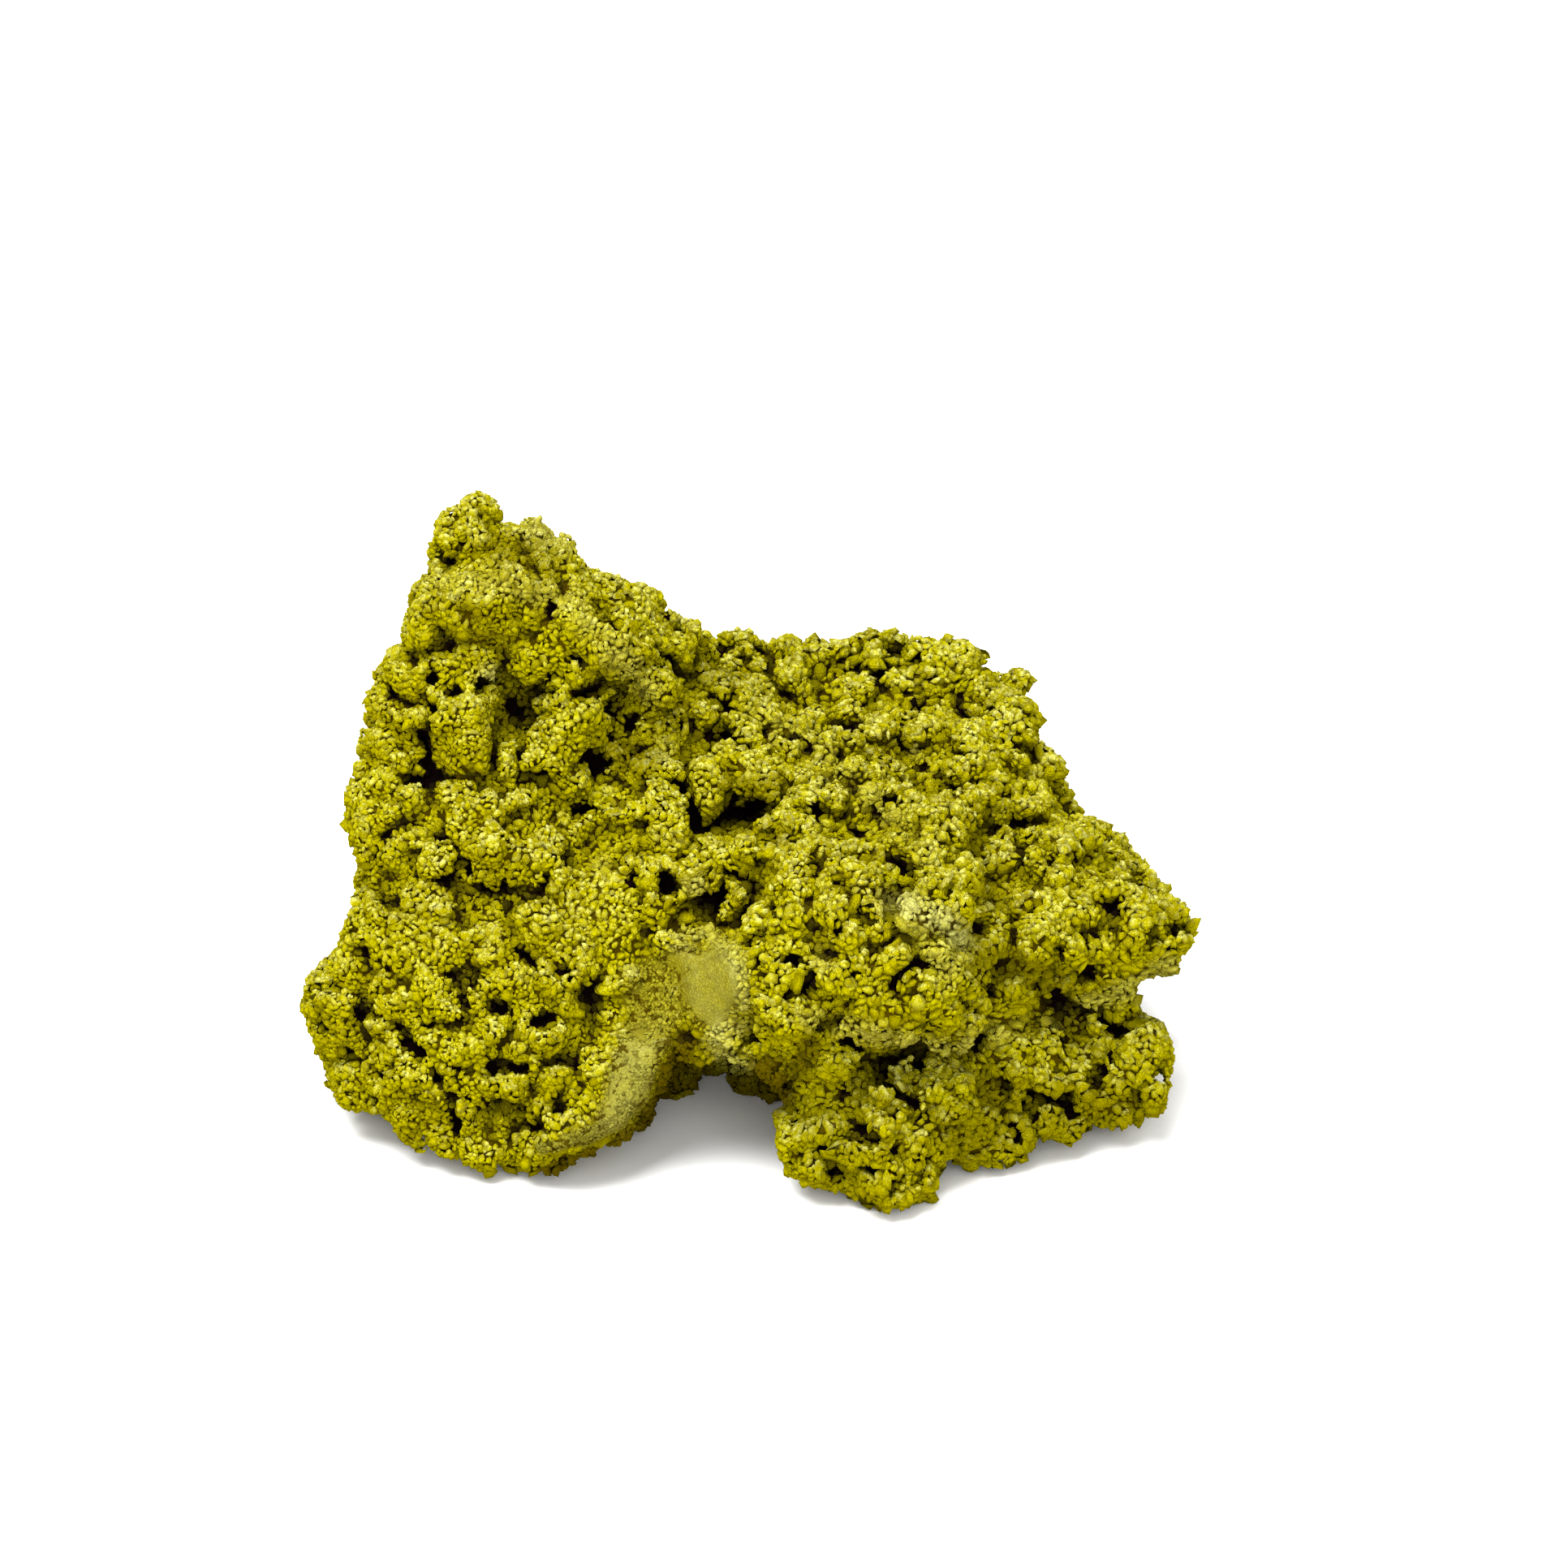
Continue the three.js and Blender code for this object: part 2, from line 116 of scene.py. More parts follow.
def chain_distance(x: Array, y: Array, chain: Chain) -> Array:
    """Measure how far points lie from a chain of places in the same plane.

    Args:
        x, y: The points.
        chain: One place, or several that are joined by straight lines.

    Returns:
        The distance of each point.
    """
    if len(chain) == 1:
        return np.hypot(x - chain[0][0], y - chain[0][1])
    nearest = np.full(np.shape(x), np.inf)
    for (ax, ay), (bx, by) in zip(chain[:-1], chain[1:], strict=True):
        ex, ey = bx - ax, by - ay
        t = np.clip(((x - ax) * ex + (y - ay) * ey) / (ex * ex + ey * ey), 0, 1)
        nearest = np.minimum(nearest, np.hypot(x - ax - t * ex, y - ay - t * ey))
    return nearest


@dataclass(frozen=True)
class Oval:
    """An upright oval in the display plane.

    Args:
        middle: Its middle, across and rise.
        radii: Half its width and half its height.
    """

    middle: Place
    radii: Pair

    def reach(self, across: Array, rise: Array) -> Array:
        """Return how far out each place lies: 0 in the middle and 1 on the oval."""
        (x, y), (a, b) = self.middle, self.radii
        return np.hypot((across - x) / a, (rise - y) / b)


@dataclass(frozen=True)
class Display:
    """The plane square to the line of sight, in which the front's features are placed.

    A place is across (to the right) and rise (up that plane), in millimetres.

    Args:
        tilt: How far the line of sight looks down.
        middle: The plane's middle, in the part's frame.
    """

    tilt: float = math.radians(25)
    middle: tuple[float, float, float] = (0.27, 2.27, 27.0)

    def axes(self) -> Array:
        """Return the rows across, rise and depth as unit vectors of the part's frame."""
        sin, cos = math.sin(self.tilt), math.cos(self.tilt)
        return np.array([(1, 0, 0), (0, sin, cos), (0, cos, -sin)])

    def place(self, across: float, rise: float, depth: float = 0) -> Array:
        """Return the point of the part's frame at a place and depth."""
        return np.array(self.middle) + np.array([across, rise, depth]) @ self.axes()

    def flatten(self, points: Array) -> tuple[Array, Array, Array]:
        """Return across, rise and depth of the points."""
        return tuple(np.moveaxis((points - np.array(self.middle)) @ self.axes().T, -1, 0))


@dataclass
class Grid:
    """A number at each point of a regular grid of samples.

    Args:
        low: The grid's lowest corner.
        cell: Distance between samples.
        values: The samples, indexed by X, Y and Z.
    """

    low: Array
    cell: float
    values: Array

    def like(self, values: Array) -> Grid:
        """Return other values on the same samples."""
        return Grid(self.low, self.cell, values)

    def points(self) -> Array:
        """Return the place of every sample."""
        lines = [self.low[i] + self.cell * np.arange(n) for i, n in enumerate(self.values.shape)]
        return np.stack(np.meshgrid(*lines, indexing="ij"), -1).astype(np.float32)

    def sample(self, points: Array) -> Array:
        """Look the field up.

        Args:
            points: Any places.

        Returns:
            The value at each place, linear between samples.
        """
        place = (points - self.low) / self.cell
        top = np.array(self.values.shape) - 2
        base = np.clip(np.floor(place).astype(int), 0, top)
        share = np.clip(place - base, 0, 1)
        found = 0
        for corner in np.ndindex(2, 2, 2):
            weight = np.prod(np.where(corner, share, 1 - share), axis=-1)
            at = base + corner
            found = found + weight * self.values[at[..., 0], at[..., 1], at[..., 2]]
        return found

    def smoothed(self, passes: int) -> Grid:
        """Smooth the field.

        Args:
            passes: How often a 1-2-1 filter goes along each axis.

        Returns:
            The smooth field, on the same samples.
        """
        values = self.values
        for axis in list(range(3)) * passes:
            wide = np.concatenate([values.take([0], axis), values, values.take([-1], axis)], axis)
            count = values.shape[axis]
            before, here, after = (wide.take(range(k, k + count), axis) for k in range(3))
            values = (before + 2 * here + after) / 4
        return self.like(values)

    def resampled(self, low: Array, cell: float, shape: tuple[int, int, int]) -> Grid:
        """Read the same field on another grid.

        Args:
            low: The other grid's lowest corner.
            cell: Its distance between samples.
            shape: Its number of samples along each axis.

        Returns:
            The other grid, linear between this one's samples.
        """
        values = self.values
        for axis in range(3):
            place = (low[axis] + cell * np.arange(shape[axis]) - self.low[axis]) / self.cell
            base = np.clip(np.floor(place).astype(int), 0, values.shape[axis] - 2)
            share = np.clip(place - base, 0, 1).astype(np.float32)
            share = share.reshape([-1 if i == axis else 1 for i in range(3)])
            values = values.take(base, axis) * (1 - share) + values.take(base + 1, axis) * share
        return Grid(np.array(low, float), cell, values)

    def noise(self, size: float, rng: np.random.Generator) -> Array:
        """Make smooth noise over the grid.

        Args:
            size: Size of the noise's features.
            rng: Source of random numbers.

        Returns:
            Values from about -1 to 1, in the grid's shape.
        """
        span = np.array(self.values.shape) * self.cell
        shape = np.ceil(span / size).astype(int) + 4
        coarse = Grid(self.low - size, size, rng.uniform(-1, 1, shape).astype(np.float32))
        return coarse.resampled(self.low, self.cell, self.values.shape).smoothed(1).values


@dataclass
class Surface:
    """A triangle mesh as arrays.

    Args:
        points: Corners, one row each.
        triangles: Corner numbers, three in each row.
    """

    points: Array
    triangles: Array

    def face_vectors(self) -> Array:
        """Return each triangle's normal, as long as twice its area."""
        a, b, c = (self.points[self.triangles[:, k]] for k in range(3))
        return np.cross(b - a, c - a)

    def corner_normals(self) -> Array:
        """Average the faces round each corner.

        Returns:
            The unit normal at each corner.
        """
        total = np.zeros_like(self.points)
        faces = self.face_vectors()
        for k in range(3):
            np.add.at(total, self.triangles[:, k], faces)
        return unit(total)

    def scatter(self, count: int, rng: np.random.Generator) -> tuple[Array, Array]:
        """Spread points at random over the surface.

        Args:
            count: Number of points.
            rng: Source of random numbers.

        Returns:
            The points, and the surface's unit normal at each.
        """
        area = np.linalg.norm(self.face_vectors(), axis=1)
        pick = rng.choice(len(area), count, p=area / area.sum())
        u, v = rng.random((2, count, 1))
        over = u + v > 1
        u, v = np.where(over, 1 - u, u), np.where(over, 1 - v, v)
        weights = np.concatenate([1 - u - v, u, v], 1)[..., None]
        corners = self.triangles[pick]
        normals = (self.corner_normals()[corners] * weights).sum(1)
        return (self.points[corners] * weights).sum(1), unit(normals)


def surface_net(grid: Grid) -> Surface:
    """Make the zero surface of a grid, with one corner in each cell that it crosses.

    Args:
        grid: The field, negative inside.

    Returns:
        The surface, its faces pointing out.
    """
    values = grid.values
    size = values.shape
    steps = np.array([size[1] * size[2], size[2], 1])
    flat = values.ravel()
    solid = values < 0
    count = sum(
        solid[a:size[0] - 1 + a, b:size[1] - 1 + b, c:size[2] - 1 + c].astype(np.int8)
        for a, b, c in np.ndindex(2, 2, 2)
    )
    cells = np.argwhere((count > 0) & (count < 8))
    first = cells @ steps
    total, crossed = np.zeros((len(cells), 3)), np.zeros((len(cells), 1))
    for axis in range(3):
        for corner in np.ndindex(2, 2, 2):
            if corner[axis]:
                continue
            start = first + np.array(corner) @ steps
            a, b = flat[start], flat[start + steps[axis]]
            hit = (a < 0) != (b < 0)
            share = np.where(hit, a / np.where(hit, a - b, 1), 0)
            place = np.tile(np.array(corner, float), (len(cells), 1))
            place[:, axis] = share
            total += place * hit[:, None]
            crossed += hit[:, None]
    points = grid.low + grid.cell * (cells + total / crossed)
    number = np.full(flat.size, -1)
    number[first] = np.arange(len(cells))
    triangles = []
    for axis in range(3):
        inside = solid.ravel()[first]
        other = solid.ravel()[first + steps[axis]]
        u, v = steps[(axis + 1) % 3], steps[(axis + 2) % 3]
        for flip, edge in ((False, first[inside & ~other]), (True, first[~inside & other])):
            quad = [number[edge - u - v], number[edge - v], number[edge], number[edge - u]]
            a, b, c, d = quad[::-1] if flip else quad
            triangles += [np.stack([a, b, c], 1), np.stack([a, c, d], 1)]
    return Surface(points, np.concatenate(triangles))


def thin_out(points: Array, spacing: Array, rng: np.random.Generator) -> Array:
    """Keep points that lie at least their own spacing from every point kept before them.

    Args:
        points: Candidates.
        spacing: Free distance that each candidate needs.
        rng: Source of random numbers.

    Returns:
        Numbers of the points kept.
    """
    tree = KDTree(len(points))
    for i, point in enumerate(points):
        tree.insert(point, i)
    tree.balance()
    free = np.ones(len(points), bool)
    kept = []
    for i in rng.permutation(len(points)):
        if not free[i]:
            continue
        kept.append(i)
        for _, j, _ in tree.find_range(points[i], spacing[i]):
            free[j] = False
    return np.array(kept)


@dataclass
class SolidForm:
    """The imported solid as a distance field.

    Args:
        cell: Distance between samples.
        margin: Room that the grid leaves round the solid.
        nudge: How far the counting lines stand off the samples, to miss the solid's corners.
    """

    cell: float = 1.6
    margin: float = 5.0
    nudge: float = 1e-4

    def field(self) -> Grid:
        """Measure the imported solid.

        Returns:
            The distance to its surface, negative inside.
        """
        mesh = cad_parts[NODE].data
        points = np.array([v.co for v in mesh.vertices]) / MM
        mesh.calc_loop_triangles()
        triangles = np.array([t.vertices for t in mesh.loop_triangles])
        low = points.min(0) - self.margin
        shape = np.ceil((points.max(0) + self.margin - low) / self.cell).astype(int) + 1
        grid = Grid(low, self.cell, np.zeros(shape, np.float32))
        tree = BVHTree.FromPolygons(points.tolist(), triangles.tolist())
        places = grid.points().reshape(-1, 3)
        far = np.array([tree.find_nearest(place)[3] for place in places])
        inside = self.inside(points[triangles], grid)
        grid.values = (far.reshape(shape) * np.where(inside, -1, 1)).astype(np.float32)
        return grid

    def inside(self, corners: Array, grid: Grid) -> Array:
        """Tell which samples lie in the solid, by counting the surfaces below them.

        Args:
            corners: The solid's triangles, indexed by triangle, corner and axis.
            grid: The samples.

        Returns:
            True for each sample that lies inside.
        """
        shape = grid.values.shape
        crossings = np.zeros(shape, np.int16)
        heights = grid.low[2] + grid.cell * np.arange(shape[2])
        flat = (corners[..., :2] - grid.low[:2]) / grid.cell + self.nudge
        for (a, b, c), z in zip(flat, corners[..., 2], strict=True):
            twice = (b[0] - a[0]) * (c[1] - a[1]) - (b[1] - a[1]) * (c[0] - a[0])
            if abs(twice) < TINY:
                continue
            start = np.ceil(np.minimum(np.minimum(a, b), c)).astype(int)
            stop = np.floor(np.maximum(np.maximum(a, b), c)).astype(int)
            for i in range(start[0], stop[0] + 1):
                for j in range(start[1], stop[1] + 1):
                    u = ((i - a[0]) * (c[1] - a[1]) - (j - a[1]) * (c[0] - a[0])) / twice
                    v = ((b[0] - a[0]) * (j - a[1]) - (b[1] - a[1]) * (i - a[0])) / twice
                    if u < 0 or v < 0 or u + v > 1:
                        continue
                    crossings[i, j] += heights > z[0] + u * (z[1] - z[0]) + v * (z[2] - z[0])
        return crossings % 2 == 1


@dataclass(frozen=True)
class Pit:
    """An open pore in the front.

    Args:
        line: Its places, each across and rise: one makes a round pore, two make a slot, and
            three or more are joined all round.
        radius: Half the pore's width.
        depth: How far it goes in, past the surface.
    """

    line: Chain
    radius: float
    depth: float = 4.0


PITS = (
    # the tower
    Pit(((-25.2, 33.4), (-26, 32.2)), 0.95, 3), Pit(((-30.6, 35),), 0.8),
    Pit(((-24.8, 31.2), (-23.3, 30.4)), 0.9, 3), Pit(((-20.6, 32.6),), 1.2, 2),
    Pit(((-30.8, 26.7),), 0.9, 2), Pit(((-33.5, 27.7),), 0.8, 2), Pit(((-13.3, 27),), 0.95),
    Pit(((-9.5, 26.2),), 0.9), Pit(((-5.2, 22),), 1.5), Pit(((-4, 20.9), (-2, 20.7)), 1),
    Pit(((-3.5, 17.6),), 0.9), Pit(((-19.4, 21.8), (-17.7, 21.6)), 1),
    Pit(((-22.5, 19.2), (-20.5, 19)), 1), Pit(((-34.8, 20),), 0.9), Pit(((-34.2, 15.6),), 0.9),
    Pit(((-36.3, 12.6), (-35.6, 10)), 0.85), Pit(((-26.5, 17), (-25.4, 15.4), (-25.2, 13.8)), 1.15),
    Pit(((-15.3, 16.2),), 1.5), Pit(((-12.3, 14.6), (-12.3, 13.2)), 1.1), Pit(((-7.5, 13.8),), 0.9),
    Pit(((-3.5, 13.2),), 0.95), Pit(((-17.2, 11.1), (-15.6, 9.9)), 1.4),
    Pit(((-14.2, 7.4), (-12, 7.3)), 1.05), Pit(((-12.7, 10.7),), 1.4, 2),
    Pit(((-26.7, 6.2),), 0.85), Pit(((-26, 8.4),), 0.85), Pit(((-23.1, 4.2),), 0.8),
    Pit(((-19.6, 4.2), (-17.8, 4.4)), 1.35), Pit(((-34.8, 1.5),), 0.8),
    # the great crevice in the middle
    Pit(((-6.3, 4.5), (-5.8, 3), (-5.5, 1.6)), 1.2), Pit(((-4.8, 3.7), (-2, 4.7)), 1.1),
    Pit(((-1.8, 6), (1, 6.4), (3.4, 6)), 1), Pit(((-1.5, 3), (1, 2.4), (3.2, 1.4)), 1),
    # the left face
    Pit(((-31.2, -2),), 1.15), Pit(((-29.8, -4.2),), 0.85), Pit(((-39.8, -5.3), (-38, -4.8)), 1.05),
    Pit(((-26.3, -6.6),), 0.95), Pit(((-25, -11.4), (-24, -13)), 1.15), Pit(((-27.6, -17.7),), 1.1),
    Pit(((-23.4, -18.3), (-22, -18.4)), 1.05), Pit(((-42.7, -17.7),), 1.1),
    Pit(((-37.3, -21.3), (-36.4, -22.5)), 1.1), Pit(((-34.5, -24.3),), 1.05),
    Pit(((-26.5, -22.8), (-25.3, -23)), 0.9), Pit(((-34, -12.4),), 0.8),
    Pit(((-31.2, -17.3),), 0.85), Pit(((-19.4, -12.4),), 0.8), Pit(((-13.5, -7),), 0.8),
    Pit(((-8.9, -2.8), (-8.5, -4.3)), 0.85), Pit(((-3.2, -4.6),), 0.95),
    Pit(((1.5, -5), (2.8, -5.6)), 1), Pit(((-12, -2.8),), 0.8), Pit(((-32.7, -29.6),), 1.3),
    Pit(((-44, -21.9),), 0.9),
    # the shelf and the right side
    Pit(((11.2, 17), (14.6, 16.2), (18.5, 16.4), (20, 16.8)), 1.1),
    Pit(((20.4, 17.3), (22.6, 17.5)), 1), Pit(((25.4, 16.6), (26.9, 16.9)), 1),
    Pit(((19.8, 19.4),), 0.85), Pit(((14.2, 11.5), (15, 11)), 1.1), Pit(((19, 9.4), (20, 9.6)), 1),
    Pit(((21.5, 8.9),), 1.5), Pit(((22.4, 10.6), (25, 10)), 0.95), Pit(((27.5, 8),), 1),
    Pit(((28, 4.8),), 0.9), Pit(((31.3, 3), (30.5, 1.2), (30.3, -0.7)), 1.05),
    Pit(((34, 0.4), (34, -0.7)), 1.3), Pit(((12.2, 2.3), (13.2, 1.4), (12.8, -0.5)), 1.1),
    Pit(((7.8, 4.2), (9.3, 3.3), (9.5, 2)), 0.95),
    Pit(((15.3, -0.8), (16.7, -1.2), (17.2, -2.5)), 1.25),
    Pit(((20, -3), (19.2, -4), (18.5, -4.5)), 1.15), Pit(((28.9, -5),), 1.3),
    Pit(((31.5, -6.5),), 0.9), Pit(((26.1, -8.3), (25.7, -9.6)), 1.15),
    Pit(((28.6, -12.8), (31, -13.3), (34, -13)), 1.3), Pit(((26, -15.3), (28, -15.6)), 1),
    Pit(((31.5, -15), (35, -15.5)), 0.95), Pit(((40.3, -5.7), (41, -6)), 1),
    Pit(((38.5, -11),), 0.85), Pit(((7, -14.5), (6.2, -15)), 1.1), Pit(((11.5, -13.6),), 0.9),
    Pit(((2.2, -11.9),), 0.9), Pit(((10.5, -8.3),), 0.95), Pit(((6.3, 10.5),), 0.85),
    Pit(((9.8, 8.8),), 0.8),
    # the slab and the right foot
    Pit(((7.2, -20.8),), 1, 2), Pit(((11.3, -20.8), (12, -21.6)), 1),
    Pit(((14.9, -22), (15.1, -23.4)), 0.85), Pit(((10.7, -26.5), (12.8, -27.2)), 1.2),
    Pit(((17.5, -27), (18.5, -28.3)), 1.05), Pit(((16.5, -29.5),), 1),
    Pit(((11.9, -30.6), (14.5, -31.3)), 1.3), Pit(((29.2, -30.8), (30, -31.5)), 1.2),
    Pit(((26, -32.3), (27.8, -31.6)), 1), Pit(((32.5, -27), (35.5, -27.3), (36.3, -28.6)), 1.1),
    Pit(((31.3, -28), (31.6, -29.3)), 0.95), Pit(((22.5, -22.6),), 1.3, 2.5),
    Pit(((40.4, -19), (41.5, -19.8)), 1.2), Pit(((20.1, -24.7),), 0.85), Pit(((10.5, -34.8),), 0.9),
    Pit(((20, -33.5),), 0.9), Pit(((8.5, -33.2),), 1),
)

# The bluff faces, where the crust is closed: the middle of each, and its size.
DENSE = (
    ((-28, 28), 7), ((-20, 22), 5), ((-32, 12), 4), ((-17, -8), 7), ((-36, -10), 5), ((30, -19), 5),
    ((43, -14), 5), ((15, -19), 4), ((27.5, 21.5), 4),
)

# Where the outline stands out or falls back: the place, how far round it, and by how much.
OUTLINE = (
    ((-33.5, 37), 2.5, 1.2), ((-42, 18.2), 3, 0.7), ((-2, 24.2), 3.5, 0.7), ((5.6, 23.3), 4, 0.8),
    ((15.9, 24), 3.5, 0.9), ((30.4, 19.9), 3, 0.8), ((34.7, 9.6), 2, 0.7), ((48.4, -11), 2.5, 0.6),
    ((-0.5, -26.4), 3.5, 1.5), ((3.4, -30.7), 3, 1), ((-9.9, -29), 2, 0.7), ((18.9, -39.1), 2, 0.4),
    ((-27, -36), 2.5, 0.7), ((-44.6, -28.6), 1.8, 0.8), ((30.9, -32.7), 2, 0.8),
    ((45, -16.1), 1.7, -3), ((48, -23.6), 3, -1.2), ((39.9, 4), 4, -0.6), ((45, -1.1), 3, -0.5),
    ((-44.6, -0.7), 4, -0.9), ((-46.3, -9.7), 3, -0.7), ((-41.2, -30.3), 2.5, -1.1),
    ((-16.3, -33.7), 3, -0.9), ((10.3, -38.4), 2, -1.4), ((-15.9, 31.5), 3, -0.8),
    ((-7.7, 27.6), 2, -0.6), ((40, -32.3), 4, -0.8), ((23.1, -36.3), 2, -1.3),
    ((2, -28.4), 1.5, -1), ((16.7, -40.8), 2, -0.6), ((-48.5, -23), 2.5, -0.5),
    ((-39, 25.5), 2, -0.8), ((-12, 30.4), 1.5, -0.5), ((-26.2, 38.6), 1.5, -0.6),
)

# The pale, blunt crests: each chain of places, its width, and how strong it is.
CRESTS = (
    (((16, -5.2), (19, -6.4), (22.2, -8.3), (23.7, -9.8)), 1.6, 1),
    (((19, -8.5), (21.5, -12)), 2.6, 0.25),
    (((-34.5, 29.9), (-27, 29.8), (-20.9, 28.5), (-16.4, 24.5), (-10.9, 18.1)), 1.8, 0.22),
    (((0.5, 15.7), (7.3, 11.7), (14.5, 5.4), (20.5, 0)), 1.6, 0.2),
    (((47.3, -12.8), (38.2, -17.4), (21.8, -21.9), (7.3, -18.3)), 1.4, 0.25),
    (((-23.6, 35.8), (-20.5, 35.3)), 2, 0.4),
    (((-7.5, -9.2), (-4, -8.8), (-0.6, -12), (-0.2, -17)), 1, 0.4),
    (((-0.5, -19), (-3, -20.3), (-2.4, -22.3), (-0.8, -23.8)), 1.6, 0.5),
    (((-10.9, -20.1), (-13, -26.5), (-14.6, -29.3)), 2.2, 0.12), (((19, 21.5),), 1, 0.7),
    (((9.5, 21),), 1, 0.5), (((19, 11.3),), 0.9, 0.7), (((8.7, 7.8),), 1, 0.4),
    (((16.2, 24),), 1.2, 0.5), (((-7, 26.6),), 1.2, 0.6), (((-28.5, 19.7),), 1.6, 0.5),
    (((-9, 10.4),), 0.9, 0.5), (((-5.5, -3.5),), 1.3, 0.4), (((-16, -1.5),), 1.1, 0.45),
    (((-12.8, -13),), 0.9, 0.5), (((8.5, -11.5),), 1.4, 0.4), (((15, 4.5),), 1.3, 0.3),
    (((23.5, 22.8), (27, 22)), 1, 0.45),
)

# The lower edge of the left foot, along the hollow.
FLANK = (
    (-6.4, -20.8), (-8.4, -24.6), (-9.7, -28.2), (-13, -31.9), (-17.5, -34.2), (-22.3, -35.9),
)

# The painted shade: chains of places in hollows, under overhangs and along shaded flanks, each with its
# width, and how strong it is.
DARKENED = (
    (FLANK, 1.6, 1), (((-22.3, -35.9), (-31, -36)), 1.4, 0.6),
    (((-8, -21.5), (-5.8, -24), (-3, -26.2)), 1.8, 0.8),
    (((-7.5, -25.5), (-2, -26.5), (4, -27)), 2, 0.9), (((2.4, -24.3), (3.6, -26.5)), 2.2, 1),
    (((6, -24), (7, -21)), 1.6, 0.8), (((-7, -13.4), (-6.8, -15), (-6.9, -17.6)), 0.45, 0.5),
    (((26.5, -3.7), (25.8, -9), (25.7, -13.7), (28.6, -15)), 1.5, 0.35),
    (((-24, 15.5), (-25.5, 16.5)), 2, 0.5), (((-14, 11), (-11.3, 10)), 2.2, 0.6),
    (((-1.5, 7), (3.5, 7.2)), 1.7, 0.6), (((2.5, 2.5), (3.9, 1.8)), 1.5, 0.6),
    (((27, -12), (33.6, -14)), 2.4, 0.5), (((28, 6), (27, -3), (28.5, -11)), 3, 0.2),
    (((24, -31), (32, -29.5), (43, -29.5)), 4, 0.5), (((27.5, -26.9), (37.3, -28.7)), 2.4, 0.5),
    (((8.5, -31), (12, -37)), 4, 0.42), (((11, -25.5), (14, -28)), 2.5, 0.4),
    (((-4.5, 20.5), (-1.5, 19.5)), 2, 0.5), (((-26.5, 33.5), (-22, 32)), 2.6, 0.5),
    (((-31.6, 27.3), (-30.2, 26.2)), 1.2, 0.6), (((-33.8, 28), (-36, 26)), 0.8, 0.4),
    (((-23.6, 29), (-23, 26), (-24.2, 23.5)), 0.7, 0.4),
)

# The rubbed strips beside and below the smooth patch: each chain of places, and its width.
RUBBED = (
    (((-8.6, -12.3), (-6.5, -11.6)), 1.4), (((-10.9, -20.1), (-12.3, -23.4), (-13, -26.5)), 2.7),
    (((-13, -26.5), (-14.6, -29.3)), 2.2), (((-14.6, -29.6), (-18.2, -31.5)), 1.2),
    (((-18.2, -31.5), (-22.5, -32.6)), 0.8),
)

# The smooth patch, the pitted ground at its left, and the parts that are quite bare of grains.
PATCH = Oval((-3.9, -14.9), (3.2, 4.5))
PITTED = Oval((-10.2, -16.0), (3.6, 4.1))
POLISHED = (Oval((-3.9, -14.9), (3.0, 4.3)), Oval((-7.1, -11.9), (2.1, 1.1)))


